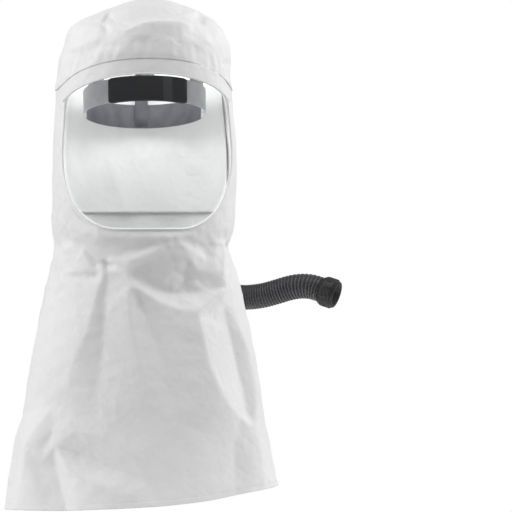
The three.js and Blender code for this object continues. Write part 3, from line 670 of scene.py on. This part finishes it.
def set_inputs(tree, node, inputs):
    """Links or sets a node's inputs, by name or number. Colours are given without alpha."""
    for key, value in inputs.items():
        socket = node.inputs[key]
        if isinstance(value, bpy.types.NodeSocket):
            tree.links.new(value, socket)
        else:
            socket.default_value = (*value, 1) if socket.type == "RGBA" else value


def add_node(tree, kind, inputs=None, **settings):
    node = tree.nodes.new(kind)
    for key, value in settings.items():
        setattr(node, key, value)
    set_inputs(tree, node, inputs or {})
    return node


def maths(tree, operation, *values):
    return add_node(tree, "ShaderNodeMath", dict(enumerate(values)), operation=operation).outputs[0]


def spots(tree):
    return add_node(tree, "ShaderNodeTexCoord").outputs["Object"]


def noise_value(tree, size_mm, detail=2.0, rough=0.5, where=None):
    scale = 1 / (size_mm * MM)
    inputs = {"Vector": where or spots(tree), "Scale": scale, "Detail": detail, "Roughness": rough}
    return add_node(tree, "ShaderNodeTexNoise", inputs).outputs["Fac"]


def creased(tree, size_mm):
    """Heights with sharp narrow creases where a smooth noise crosses its middle."""
    return maths(tree, "ABSOLUTE", maths(tree, "SUBTRACT", noise_value(tree, size_mm), 0.5))


def ranged(tree, value, low, high, from_low=0.3, from_high=0.7):
    inputs = {"Value": value, "From Min": from_low, "From Max": from_high, "To Min": low, "To Max": high}
    return add_node(tree, "ShaderNodeMapRange", inputs).outputs["Result"]


def blended(tree, share, first, second):
    """A colour between two. The node's inputs 0, 6 and 7 are the share and the colours."""
    return add_node(tree, "ShaderNodeMix", {0: share, 6: first, 7: second}, data_type="RGBA").outputs[2]


def bumped(tree, heights):
    """The normal after a chain of bumps, from pairs of height and depth in millimetres."""
    before = {}
    for height, depth in heights:
        inputs = {"Height": height, "Distance": depth * MM, "Strength": 1.0, **before}
        before = {"Normal": add_node(tree, "ShaderNodeBump", inputs).outputs["Normal"]}
    return before["Normal"]


def surfaced(name, dark, light, roughness, patch, grain, grain_depth, specular=0.5):
    """A material whose colour drifts between two shades in patches, with a fine grain."""
    material, tree, shader = tree_of(name)
    patches = ranged(tree, noise_value(tree, patch, 3), 0, 1)
    wear = 0.06
    set_inputs(tree, shader, {
        "Base Color": blended(tree, patches, dark, light),
        "Roughness": ranged(tree, noise_value(tree, patch / 3, 3), roughness - wear, roughness + wear),
        "Normal": bumped(tree, [(noise_value(tree, grain, 3), grain_depth)]),
        "Specular IOR Level": specular,
    })
    return material


def cloth_material():
    """Laminated nonwoven: short fibres pressed flat, a soft mottle, sharp creases and a faint crumple."""
    material, tree, shader = tree_of("nonwoven")
    mottle = ranged(tree, noise_value(tree, 9, 4, 0.65), 0, 1)
    cloud = ranged(tree, noise_value(tree, 120), 0, 1)
    thread = blended(tree, mottle, (0.80, 0.80, 0.795), (0.86, 0.86, 0.862))
    stretch = add_node(tree, "ShaderNodeMapping", {"Vector": spots(tree), "Scale": (1, 1, 3.2)})
    fibres = noise_value(tree, 1.6, 4, 0.7, stretch.outputs["Vector"])
    uneven = noise_value(tree, 14, 3, 0.55)
    heights = [(creased(tree, 42), 3.8), (creased(tree, 19), 1.1), (uneven, 0.6), (fibres, 0.16)]
    set_inputs(tree, shader, {
        "Base Color": blended(tree, cloud, thread, (0.84, 0.845, 0.84)),
        "Roughness": ranged(tree, noise_value(tree, 4, 3), 0.56, 0.72),
        "Normal": bumped(tree, heights),
        "Specular IOR Level": 0.3,
        "Sheen Weight": 0.08,
        "Sheen Roughness": 0.4,
    })
    return material


def visor_material():
    """Thin clear sheet with a faint haze and fine scuffs."""
    material, tree, shader = tree_of("clear_sheet")
    set_inputs(tree, shader, {
        "Base Color": (0.97, 0.985, 0.975),
        "Roughness": ranged(tree, noise_value(tree, 30, 5, 0.7), 0.02, 0.07, 0.45, 0.7),
        "Normal": bumped(tree, [(noise_value(tree, 90, 1), 0.5)]),
        "IOR": 1.45,
        "Transmission Weight": 1.0,
    })
    return material


def foam_material():
    """Black padded fabric with a stitched strip towards one end, painted lighter as painted sheen."""
    material, tree, shader = tree_of("sweatband_fabric")
    where = spots(tree)
    across = add_node(tree, "ShaderNodeSeparateXYZ", {"Vector": where}).outputs["X"]
    # The stitched strip is real; its lighter colour below is painted sheen
    strip_left, strip_right, blur = 0.0225, 0.0365, 0.0008
    rise = ranged(tree, across, 0, 1, strip_left - blur, strip_left + blur)
    fall = ranged(tree, across, 1, 0, strip_right - blur, strip_right + blur)
    strip = maths(tree, "MULTIPLY", rise, fall)
    mottle = ranged(tree, noise_value(tree, 3, 3), 0, 1)
    black = blended(tree, mottle, (0.007, 0.007, 0.010), (0.013, 0.013, 0.017))
    waves = {"Vector": where, "Scale": 500, "Distortion": 1.5}
    weave = add_node(tree, "ShaderNodeTexWave", waves, bands_direction="Z")
    set_inputs(tree, shader, {
        # Painted sheen: the strip gets a lighter colour than the black pad
        "Base Color": blended(tree, strip, black, (0.036, 0.034, 0.042)),
        "Roughness": 0.85,
        "Normal": bumped(tree, [(weave.outputs["Fac"], 0.15), (noise_value(tree, 2, 3), 0.2)]),
        "Specular IOR Level": 0.25,
        "Sheen Weight": 0.04,
    })
    return material


def harness_material():
    """Satin grey plastic, with the back half of the ring painted near black as painted shade."""
    material, tree, shader = tree_of("harness_plastic")
    back = add_node(tree, "ShaderNodeSeparateXYZ", {"Vector": spots(tree)}).outputs["Y"]
    patches = ranged(tree, noise_value(tree, 15, 3), 0, 1)
    front_grey = blended(tree, patches, (0.44, 0.445, 0.47), (0.52, 0.525, 0.55))
    # Painted shade: the back half of the ring is coloured near black for the shade inside the back of the
    # hood
    back_painted_shade = blended(tree, patches, (0.055, 0.055, 0.065), (0.085, 0.085, 0.097))
    # Switches from the front grey to the painted shade just behind the middle of the ring
    share = ranged(tree, back, 0, 1, 0.024, 0.025)
    set_inputs(tree, shader, {
        "Base Color": blended(tree, share, front_grey, back_painted_shade),
        "Roughness": ranged(tree, noise_value(tree, 5, 3), 0.38, 0.5),
        "Normal": bumped(tree, [(noise_value(tree, 0.8, 3), 0.03)]),
    })
    return material


LOOKS = {
    "hood_fabric": cloth_material(),
    "visor_sheet": visor_material(),
    "sweatband_foam": foam_material(),
    "edging": surfaced("welded_tape", (0.82, 0.82, 0.82), (0.87, 0.87, 0.87), 0.45, 20, 1.5, 0.05),
    "harness_plastic": harness_material(),
    "black_plastic": surfaced(
        "black_plastic", (0.022, 0.022, 0.023), (0.032, 0.032, 0.034), 0.36, 12, 0.6, 0.03
    ),
    "hose_rubber": surfaced(
        "black_hose", (0.044, 0.044, 0.048), (0.06, 0.06, 0.067), 0.24, 10, 0.7, 0.006, specular=1.0
    ),
}


# Fabric

FRONT_SWEEP = 92
FRONT_COLUMNS = 168
BACK_COLUMNS = 54
CROWN_ROWS = 100
CROWN_COLUMNS = 280
BODY_ROWS = 214
SEAM_LAP = 2.5


def hood_turns(front_columns=FRONT_COLUMNS):
    front = np.linspace(-FRONT_SWEEP, FRONT_SWEEP, front_columns, endpoint=False)
    back = np.linspace(FRONT_SWEEP, 360 - FRONT_SWEEP, BACK_COLUMNS, endpoint=False)
    return np.concatenate([front, back])


PORT_HOLE = 22.3


def port_line():
    return PORT_SPOT + PORT_HOLE * circle(48)


def hood_crown():
    """The cap of the hood, down to the seam over the brow."""
    turns = hood_turns(CROWN_COLUMNS)
    columns = len(turns)
    first_row, crowding = 0.05, 1.25
    down = np.linspace(first_row, 1, CROWN_ROWS) ** crowding
    at = down[:, None] * level_of(seam_drop(turns))[None, :]
    turn = np.broadcast_to(turns, at.shape)
    skins = []
    for offset in (-CLOTH, 0):
        top_point = np.array([[0, 0, CROWN_RISE + offset]])
        skins.append(np.concatenate([hood_place(turn, at, offset, crown=True).reshape(-1, 3), top_point]))
    apex = at.size
    faces = grid_faces(CROWN_ROWS, columns, close_columns=True).tolist()
    faces += [[apex, j, (j + 1) % columns] for j in range(columns)]
    points, all_faces = closed_skins(*skins, faces)
    crown = piece("hood_crown", points, all_faces, "hood_fabric")
    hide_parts("hood_shell")
    return crown


def hood_body():
    """The fabric from the seam down to the hem, with the window and the port's hole."""
    turns = hood_turns()
    columns = len(turns)
    start = level_of(seam_drop(turns) - SEAM_LAP)
    down = np.linspace(0, 1, BODY_ROWS)
    at = start[None, :] + down[:, None] * (2 - start[None, :])
    turn = np.broadcast_to(turns, at.shape).ravel().copy()
    at = at.ravel()
    quads = grid_faces(BODY_ROWS, columns, close_columns=True)
    # The middle of each face, unrolled: the last column meets the first one round the back.
    wrapped = turn[quads]
    wrapped = np.where(wrapped < wrapped.max(axis=1, keepdims=True) - 180, wrapped + 360, wrapped)
    middle_turn, middle_drop = wrapped.mean(axis=1), at[quads].mean(axis=1) * BELL_LENGTH
    signed = np.where(middle_turn > 180, middle_turn - 360, middle_turn)
    top, bottom = window_edges(0, signed)
    in_window = (np.abs(signed) < VISOR_SWEEP / 2) & (middle_drop > top) & (middle_drop < bottom)
    in_port = np.linalg.norm(flat_spot(middle_turn, middle_drop) - PORT_SPOT, axis=1) < PORT_HOLE
    for hole, line in ((in_window, WINDOW_LINE), (in_port, port_line())):
        touched = np.intersect1d(np.unique(quads[hole]), np.unique(quads[~hole]))
        found, _ = nearest_on(line, flat_spot(turn[touched], at[touched] * BELL_LENGTH))
        turn[touched] = np.degrees(found[:, 0] / MEAN_REACH)
        at[touched] = found[:, 1] / BELL_LENGTH
    quads = quads[~(in_window | in_port)]
    used = np.unique(quads)
    new = np.full(len(turn), -1)
    new[used] = np.arange(len(used))
    skins = [hood_place(turn[used], at[used], offset) for offset in (-CLOTH, 0)]
    points, all_faces = closed_skins(*skins, new[quads])
    body = piece("hood_body", points, all_faces, "hood_fabric")
    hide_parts("hood_shell")
    return body


def hem_tape():
    """The turned and welded edge of the hem."""
    turns, tape_at, rows = hood_turns(), 1.978, 5
    at = np.linspace(tape_at, 2.0, rows)[:, None] * np.ones(len(turns))
    turn = np.broadcast_to(turns, at.shape)
    skins = [hood_place(turn, at, offset).reshape(-1, 3) for offset in (0.1, 0.8)]
    points, faces = closed_skins(*skins, grid_faces(rows, len(turns), close_columns=True))
    tape = piece("hem_tape", points, faces, "hood_fabric")
    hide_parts("hood_shell")
    return tape


def brow_panel():
    def edges(turn):
        arch = (turn / (VISOR_SWEEP / 2)) ** 2
        return BROW_DROP - 1 + BROW_ARCH * arch, VISOR_DROP - 1 + VISOR_ARCH * arch

    points, faces = plate(BROW_SWEEP, edges, 0.1, 0.9, 90, 8)
    panel = piece("brow_panel", points, faces, "hood_fabric")
    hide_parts("brow_band")
    return panel


def visor_sheet():
    def edges(turn):
        return window_edges(VISOR_LAP, turn)

    points, faces = plate(window_sweep(VISOR_LAP), edges, -2.8, -1.8, 110, 70)
    sheet = piece("visor_sheet", points, faces, "visor_sheet")
    sheet.visible_shadow = False
    sheet.visible_diffuse = False
    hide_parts("visor")
    return sheet


def visor_trim():
    """A welded tape round the window with rounded edges."""
    rings = []
    for grow, offset in (
        (-0.2, -1.0), (-0.3, 0.9), (0.1, 1.7), (0.7, 2.1), (1.4, 2.0), (2.0, 1.5), (2.4, 0.8), (2.4, -0.4),
    ):
        turn, drop = window_loop(grow, 120, 40).T
        rings.append(plain_place(turn, level_of(drop), offset))
    points, faces = swept(np.stack(rings, 1)[:, ::-1], close_path=True)
    trim = piece("visor_trim", points, faces, "edging")
    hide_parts("visor_edging")
    return trim


LINING_TURNS = (108, 252)
LINING_DROPS = (70, 319)
LINING_STAND = 3.2
LINING_LEAST = 2.6
LINING_SWELL = 9
LINING_WALL = 0.8


def inner_lining():
    """A loose lining inside the back and over the port, which spreads the air. It ends at the neck."""
    across, down = 96, 80
    turn, drop = np.meshgrid(
        np.linspace(*LINING_TURNS, across), np.linspace(*LINING_DROPS, down), indexing="ij"
    )
    from_port = (flat_spot(turn, drop) - PORT_SPOT) / (62, 78)
    over_port = np.exp(-(from_port[..., 0] ** 2) - from_port[..., 1] ** 2)
    lip = 0.6 * smoothstep(LINING_DROPS[1] - 34, LINING_DROPS[1], drop)
    stand = CLOTH + LINING_STAND + LINING_SWELL * over_port + lip
    base, normal = smooth_place(turn, level_of(drop)), outwards(turn, level_of(drop))
    # Held along both sides, and loose from 22 degrees in. The slant makes the creases run down and across.
    left, right = LINING_TURNS
    loose = smoothstep(left, left + 22, turn) * smoothstep(right, right - 22, turn)
    slanted = base * (1, 1, 0.45) + base[..., [2, 2, 0]] * (0.3, 0, 0.3)
    stand = stand + (1.2 * soft_noise(base, 95, 21) - 2.4 * crumple(slanted, 70, 4)) * loose
    stand = np.maximum(stand, CLOTH + LINING_LEAST)
    skins = [(base - normal * (stand + wall)[..., None]).reshape(-1, 3) for wall in (LINING_WALL, 0)]
    points, faces = closed_skins(*skins, grid_faces(across, down))
    lining = piece("inner_lining", points, faces, "hood_fabric")
    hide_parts("hood_shell")
    return lining


# Head harness

BAND_WIDTH = 184
BAND_DEPTH = 197
BAND_HEIGHT = 36
BAND_WALL = 2
BAND_TILT = math.radians(-11.5)
STRAP_RISE = 80
STRAP_WIDTH = 20
STRAP_WALL = 1.5
STRAP_FOOT = 4
STRAP_CLEARANCE = 1.2
PAD_FRONT = 2.2
PAD_BACK = 5
PAD_OVER = 1
PAD_LEFT = -59
PAD_RIGHT = 60


def tilted(points):
    c, s = math.cos(BAND_TILT), math.sin(BAND_TILT)
    turn = np.array([[1, 0, 0], [0, c, -s], [0, s, c]])
    return points @ turn.T


def rounded_section(low, high, bottom, top, radius, steps=3):
    """Corner points of a rounded rectangle, as pairs of offset and height."""
    points = []
    corners = [(high, top, 0), (low, top, 90), (low, bottom, 180), (high, bottom, 270)]
    for x, z, start in corners:
        cx = x - radius if x == high else x + radius
        cz = z - radius if z == top else z + radius
        for k in range(steps + 1):
            angle = math.radians(start + 90 * k / steps)
            points.append((cx + radius * math.cos(angle), cz + radius * math.sin(angle)))
    return points


def band_ring(angles, section_points):
    """Rings across the headband's outline at some angles from the right, counted towards the back."""
    x, y = BAND_WIDTH / 2 * np.cos(angles), BAND_DEPTH / 2 * np.sin(angles)
    normal = np.stack([np.cos(angles) / (BAND_WIDTH / 2), np.sin(angles) / (BAND_DEPTH / 2)], -1)
    normal /= np.linalg.norm(normal, axis=1, keepdims=True)
    rings = []
    for offset, height in section_points:
        flat = np.stack([x, y], -1) + normal * offset
        rings.append(np.concatenate([flat, np.full((len(angles), 1), height)], 1))
    return np.stack(rings, 1)


def headband():
    angles = np.linspace(0, 2 * np.pi, 160, endpoint=False)
    half = BAND_HEIGHT / 2
    rings = band_ring(angles, rounded_section(-BAND_WALL, 0, -half, half, 0.8))
    points, faces = swept(rings, close_path=True)
    ring = piece("harness_band", tilted(points), faces, "harness_plastic")
    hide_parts("headband")
    return ring


def crown_strap(half, rise, along, shift, node):
    """A strap that arches over the head, with rounded edges."""
    arc, foot = np.linspace(0, np.pi, 61), STRAP_FOOT - BAND_HEIGHT / 2

    def path(half, rise):
        arch = np.stack([half * np.cos(arc), rise * np.sin(arc)], -1)
        return np.concatenate([[(half, foot)], arch, [(-half, foot)]])

    inner, outer = path(half - STRAP_WALL, rise), path(half, rise + STRAP_WALL)
    rings = []
    for share, side in rounded_section(0, 1, -STRAP_WIDTH / 2, STRAP_WIDTH / 2, 0.45, 2):
        line = mix(inner, outer, share)
        rings.append(np.insert(line, 1, side, axis=1))
    points, faces = swept(np.stack(rings, 1)[:, ::-1])
    if along:
        points = np.stack([-points[:, 1], points[:, 0] + shift, points[:, 2]], -1)
    strap = piece("harness_" + node, tilted(points), faces, "harness_plastic")
    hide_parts(node)
    return strap


def sweatband():
    """The pad that wraps the front of the headband, plump between its stitched ends."""
    def angle_at(x):
        return -math.acos(x / (BAND_WIDTH / 2 + PAD_FRONT))

    angles = np.linspace(angle_at(PAD_LEFT), angle_at(PAD_RIGHT), 90)
    half = BAND_HEIGHT / 2 + PAD_OVER
    rings = band_ring(angles, rounded_section(-BAND_WALL - PAD_BACK, PAD_FRONT, -half, half, 2.4, 4))
    middle = band_ring(angles, [(-(BAND_WALL + PAD_BACK - PAD_FRONT) / 2, 0)])[:, 0]
    share = np.linspace(0, 1, len(angles))
    ends = np.minimum(share, 1 - share)
    end_wall, end_height = 0.72, 0.93
    plump = mix(end_wall, 1, smoothstep(0, 0.06, ends))
    height = mix(end_height, 1, smoothstep(0, 0.04, ends))
    offsets = rings - middle[:, None]
    offsets[..., :2] *= plump[:, None, None]
    offsets[..., 2] *= height[:, None]
    points, faces = swept(middle[:, None] + offsets)
    pad = piece("sweatband_pad", tilted(points), faces, "sweatband_foam")
    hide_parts("sweatband")
    return pad


def brow_tabs():
    for node in ("brow_tab_left", "brow_tab_right"):
        tab = frame["nodes"][node]
        tab.data.materials.clear()
        tab.data.materials.append(LOOKS["harness_plastic"])


# Hose and fittings

PORT_HEIGHT = CROWN_RISE - PORT_DROP
HOOD_BACK = float(reach("back", level_of(PORT_DROP)))
HOSE_BACK = HOOD_BACK + PORT_REACH
HOSE_START = np.array([0, HOSE_BACK, PORT_HEIGHT - PORT_FALL])


def through(points, per_span):
    """A centripetal Catmull-Rom curve through points."""
    points = np.asarray(points, float)
    padded = np.concatenate([[2 * points[0] - points[1]], points, [2 * points[-1] - points[-2]]])
    line = []
    for i in range(1, len(padded) - 2):
        p0, p1, p2, p3 = padded[i - 1 : i + 3]
        d0, d1, d2 = (math.sqrt(np.linalg.norm(b - a)) for a, b in ((p0, p1), (p1, p2), (p2, p3)))
        m1 = ((p1 - p0) / d0 - (p2 - p0) / (d0 + d1) + (p2 - p1) / d1) * d1
        m2 = ((p2 - p1) / d1 - (p3 - p1) / (d1 + d2) + (p3 - p2) / d2) * d1
        t = np.linspace(0, 1, per_span, endpoint=False)[:, None]
        ends = p1 * (1 + 2 * t) * (1 - t) ** 2 + p2 * t**2 * (3 - 2 * t)
        line.append(ends + m1 * t * (1 - t) ** 2 - m2 * t**2 * (1 - t))
    return np.concatenate([*line, points[-1:]])


def steps_along(line):
    return np.linalg.norm(np.diff(line, axis=0), axis=1)


def along_line(line, places):
    """Points and directions at some distances along a line."""
    run = np.concatenate([[0], np.cumsum(steps_along(line))])

    def point_at(places):
        return np.stack([np.interp(places, run, line[:, k]) for k in range(3)], -1)

    nudge = 0.4
    direction = point_at(np.minimum(places + nudge, run[-1])) - point_at(np.maximum(places - nudge, 0))
    return point_at(places), direction / np.linalg.norm(direction, axis=1, keepdims=True)


def tube_rings(centres, directions, radii, sides, first_side=(1, 0, 0)):
    """Rings of given radii about a line, without twist. radii may differ round each ring."""
    side = np.asarray(first_side, float)
    radii = np.broadcast_to(np.asarray(radii, float).reshape(len(centres), -1), (len(centres), sides))
    rings = []
    for centre, direction, radius in zip(centres, directions, radii):
        side = side - direction * (side @ direction)
        side /= np.linalg.norm(side)
        around = circle(sides) @ np.array([side, np.cross(direction, side)])
        rings.append(centre + radius[:, None] * around)
    return np.array(rings)


def hollow_tube(name, line, places, radii, bore, inner_count, sides, slot):
    """A tube along a line with given outer radii and a plain bore. Returns it and its centres."""
    centres, directions = along_line(line, places)
    outer = tube_rings(centres, directions, radii, sides)
    inner_line = along_line(line, np.linspace(0, places[-1], inner_count))
    inner = tube_rings(*inner_line, np.full(inner_count, bore), sides)
    points, faces = swept(np.concatenate([outer, inner[::-1]]), close_path=True)
    return piece(name, points, faces, slot), centres


HOSE_LINE = through(np.array(HOSE_ROUTE) + HOSE_START - np.array([0, 0, HOSE_STEP]), 40)
HOSE_LENGTH = float(steps_along(HOSE_LINE).sum())
HOSE_WALL = 3.2
# The ribs' pitch and depth at some shares of the length
RIB_SHARES = [0.0, 0.56, 0.64, 0.78, 0.88, 0.95, 1.0]
RIB_PITCHES = [5.0, 5.0, 3.5, 4.4, 5.6, 5.2, 4.4]
RIB_DEPTHS = [2.4, 2.4, 1.7, 2.1, 2.7, 2.6, 2.2]


def corrugated(length):
    """Distances along the hose and radii there: one rounded rib after another."""
    profile = [(0.0, 0.0), (0.12, 0.25), (0.27, 0.9), (0.4, 1.0), (0.62, 1.0), (0.75, 0.9), (0.9, 0.25)]
    places, radii = [], []
    start = 0.0
    while start < length - 1:
        share = start / length
        pitch = float(np.interp(share, RIB_SHARES, RIB_PITCHES))
        depth = float(np.interp(share, RIB_SHARES, RIB_DEPTHS))
        for along, rise in profile:
            if start + along * pitch < length:
                places.append(start + along * pitch)
                radii.append(HOSE_DIAMETER / 2 - depth * (1 - rise))
        start += pitch
    places.append(length)
    radii.append(radii[0])
    return np.array(places), np.array(radii)


def hose():
    places, radii = corrugated(HOSE_LENGTH)
    bore = HOSE_DIAMETER / 2 - HOSE_WALL
    tube, centres = hollow_tube("breathing_hose", HOSE_LINE, places, radii, bore, 90, 44, "hose_rubber")
    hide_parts("hose")
    return tube, centres


COUPLING_LENGTH = 25
COUPLING_DIAMETER = 46
COUPLING_LIP = 41
COUPLING_LIP_LENGTH = 4


def coupling():
    """The round coupling: a shoulder that grips the hose, a body with grip grooves and a plug-in lip."""
    axis = along_line(HOSE_LINE, np.array([HOSE_LENGTH]))[1][0]
    start = HOSE_LINE[-1] + axis * HOSE_STEP
    outer, lip = COUPLING_DIAMETER / 2, COUPLING_LIP / 2
    body, bore, edge = COUPLING_LENGTH - COUPLING_LIP_LENGTH, HOSE_DIAMETER / 2 - 3.0, 0.6
    profile = [
        (0, bore), (0, 19.4), (0.4, 20.0), (2.0, 20.9), (3.6, 21.9), (5.0, 22.6), (6.4, 22.9),
        *[(place, outer) for place in (7.4, 8.4, 10.5, 12.5, 14.5, 16.0, 17.0, 18.6, body - edge)],
        (body, outer - edge), (body, lip + 0.4), (body + 0.4, lip),
        (COUPLING_LENGTH - edge, lip), (COUPLING_LENGTH, lip - edge), (COUPLING_LENGTH, bore),
    ]
    sides = 240
    angles = np.linspace(0, 2 * np.pi, sides, endpoint=False)
    groups, grooves, spread, groove_width, groove_depth = 6, 4, math.radians(7), 0.36, 0.9
    groove = np.zeros(sides)
    for g in range(groups):
        for k in range(grooves):
            middle = 2 * math.pi * g / groups + (k - (grooves - 1) / 2) * spread
            away = np.abs((angles - middle + math.pi) % (2 * math.pi) - math.pi)
            groove = np.maximum(groove, 1 - np.minimum(away / (spread * groove_width), 1) ** 2)
    places, radii = np.array(profile).T[..., None]
    depths = groove_depth * groove * smoothstep(5.5, 8.2, places) * smoothstep(18.8, 16.4, places)
    upright = np.cross(axis, (0, 0, 1.0))
    rings = tube_rings(start + axis * places, [axis] * len(profile), radii - depths, sides, upright)
    points, faces = swept(rings, close_path=True)
    made = piece("coupling", points, faces, "black_plastic")
    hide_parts("hose_coupling")
    return made


SPIGOT = 22.0
SPIGOT_WALL = 2.5
SPIGOT_TIP = 3
FLANGE = 31.0
FLANGE_WALL = 2.5
FABRIC = 1.5
ELBOW_BEND = 36


def elbow_line():
    inner_end = HOOD_BACK - FABRIC - FLANGE_WALL - SPIGOT_TIP
    bend_start = np.array([0, HOSE_BACK - ELBOW_BEND, PORT_HEIGHT])
    corner = np.array([0, HOSE_BACK, PORT_HEIGHT])
    bend_end = np.array([0, HOSE_BACK, PORT_HEIGHT - ELBOW_BEND])
    t = np.linspace(0, 1, 40)[:, None]
    bend = bend_start * (1 - t) ** 2 + 2 * corner * t * (1 - t) + bend_end * t**2
    return np.concatenate([[[0, inner_end, PORT_HEIGHT]], bend, [HOSE_START]])


def port():
    """The elbow with a thickened end, and a flange on each side of the fabric."""
    line = elbow_line()
    length = float(steps_along(line).sum())
    places = np.concatenate([np.linspace(0, length - 14, 40), np.linspace(length - 13, length, 14)])
    radii = SPIGOT - 1.0 + smoothstep(length - 12, length - 11, places)
    bore = SPIGOT - SPIGOT_WALL
    elbow, _ = hollow_tube("port_elbow", line, places, radii, bore, 40, 56, "black_plastic")
    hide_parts("hose_port")
    gap, edge, lap = 0.3, 0.7, 1.5
    for name, low in (("port_flange", gap), ("port_flange_inside", -FABRIC - gap - FLANGE_WALL)):
        high = low + FLANGE_WALL
        rings = []
        for radius, offset in (
            (SPIGOT - lap, low), (FLANGE - edge, low), (FLANGE, low + edge), (FLANGE, high - edge),
            (FLANGE - edge, high), (SPIGOT + lap, high), (SPIGOT - lap, high),
        ):
            across, drop = (PORT_SPOT + radius * circle(72)).T
            rings.append(plain_place(np.degrees(across / MEAN_REACH), level_of(drop), offset))
        points, faces = swept(np.array(rings), close_path=True)
        flange = piece(name, points, faces, "black_plastic")
        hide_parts("hose_port")


# The object

hose_piece, hose_centres = hose()
coupling_piece = coupling()
crown_piece = hood_crown()
body_piece = hood_body()
hem_piece = hem_tape()
brow_piece = brow_panel()
lining_piece = inner_lining()
visor_sheet()
trim_piece = visor_trim()
headband()
ACROSS_HALF = BAND_WIDTH / 2 - BAND_WALL - STRAP_CLEARANCE
ACROSS_RISE = STRAP_RISE + STRAP_WALL + STRAP_CLEARANCE
ALONG_HALF = (BAND_DEPTH - PAD_BACK) / 2 - BAND_WALL - STRAP_CLEARANCE
crown_strap(ACROSS_HALF, ACROSS_RISE, False, 0, "crown_strap_across")
crown_strap(ALONG_HALF, STRAP_RISE, True, PAD_BACK / 2, "crown_strap_along")
sweatband()
brow_tabs()
port()

# Floor and light


def floor():
    """A pale round floor just under the hem that fades out before the view's lower edge."""
    radius, sides, height = 0.9, 96, -0.65
    rim = np.insert(radius * circle(sides), 2, height, axis=1)
    mesh = bpy.data.meshes.new("floor")
    mesh.from_pydata(rim.tolist(), [], [list(range(sides))])
    obj = linked("floor", mesh)
    material, tree, shader = tree_of("floor")
    away = add_node(tree, "ShaderNodeVectorMath", {0: spots(tree)}, operation="LENGTH").outputs["Value"]
    alpha = ranged(tree, away, 1, 0, 0.75, 1.1)
    set_inputs(tree, shader, {"Base Color": (0.92, 0.92, 0.92), "Roughness": 0.8, "Alpha": alpha})
    mesh.materials.append(material)


def lamp(name, kind, power):
    data = bpy.data.lights.new(name, kind)
    data.energy = power
    made = linked(name, data)
    made.visible_transmission = False
    return made, data


def softbox(name, turn, rise, away, size, power, glint):
    """A soft light that shines at the hood from some degrees round from the front and up."""
    box, data = lamp(name, "AREA", power)
    data.shape = "RECTANGLE"
    data.size = data.size_y = size
    turn, rise = math.radians(turn), math.radians(rise)
    back = Vector((math.sin(turn) * math.cos(rise), -math.cos(turn) * math.cos(rise), math.sin(rise)))
    box.location = Vector((0, 0, -0.05)) + back * away
    box.rotation_euler = (-back).to_track_quat("-Z", "Y").to_euler()
    box.visible_glossy = glint


def world():
    """White all round to the camera, and a softer even light on the object."""
    made = bpy.data.worlds.new("studio")
    bpy.context.scene.world = made
    made.use_nodes = True
    tree = made.node_tree
    light = tree.nodes["Background"]
    set_inputs(tree, light, {"Color": (1, 1, 1), "Strength": 0.27})
    seen = add_node(tree, "ShaderNodeBackground", {"Color": (1, 1, 1), "Strength": 1.0})
    path = add_node(tree, "ShaderNodeLightPath")
    shares = {0: path.outputs["Is Camera Ray"], 1: light.outputs[0], 2: seen.outputs[0]}
    both = add_node(tree, "ShaderNodeMixShader", shares)
    tree.links.new(both.outputs[0], tree.nodes["World Output"].inputs["Surface"])


def inner_glow(name, place, power):
    """Light that thin white fabric lets into the hood."""
    glow, data = lamp(name, "POINT", power)
    data.shadow_soft_size = 0.05
    glow.location = place
    glow.visible_camera = False
    glow.visible_glossy = False


# Turn, rise, distance, size, power and whether it shows as a glint
SOFTBOXES = {
    "front_left_light": (-75, 22, 1.9, 1.7, 26, False),
    "front_right_light": (75, 22, 1.9, 1.7, 22.5, False),
    "back_left_light": (-120, 22, 2.2, 1.8, 7, False),
    "back_right_light": (120, 22, 2.2, 1.8, 16, False),
    "back_light": (180, 20, 2.6, 2.2, 5, False),
    "top_light": (0, 75, 2.6, 2.2, 14, True),
}
# Place and power
GLOWS = {
    "glow_behind_the_visor": ((0, -0.07, -0.05), 0.07),
    "glow_left": ((-0.06, -0.02, -0.065), 0.105),
    "glow_right": ((0.06, -0.02, -0.065), 0.105),
    "glow_under_the_crown": ((0, 0.02, 0.05), 0.52),
}
floor()
for name, row in SOFTBOXES.items():
    softbox(name, *row)
world()
for name, row in GLOWS.items():
    inner_glow(name, *row)
bpy.context.scene.view_settings.view_transform = "Standard"
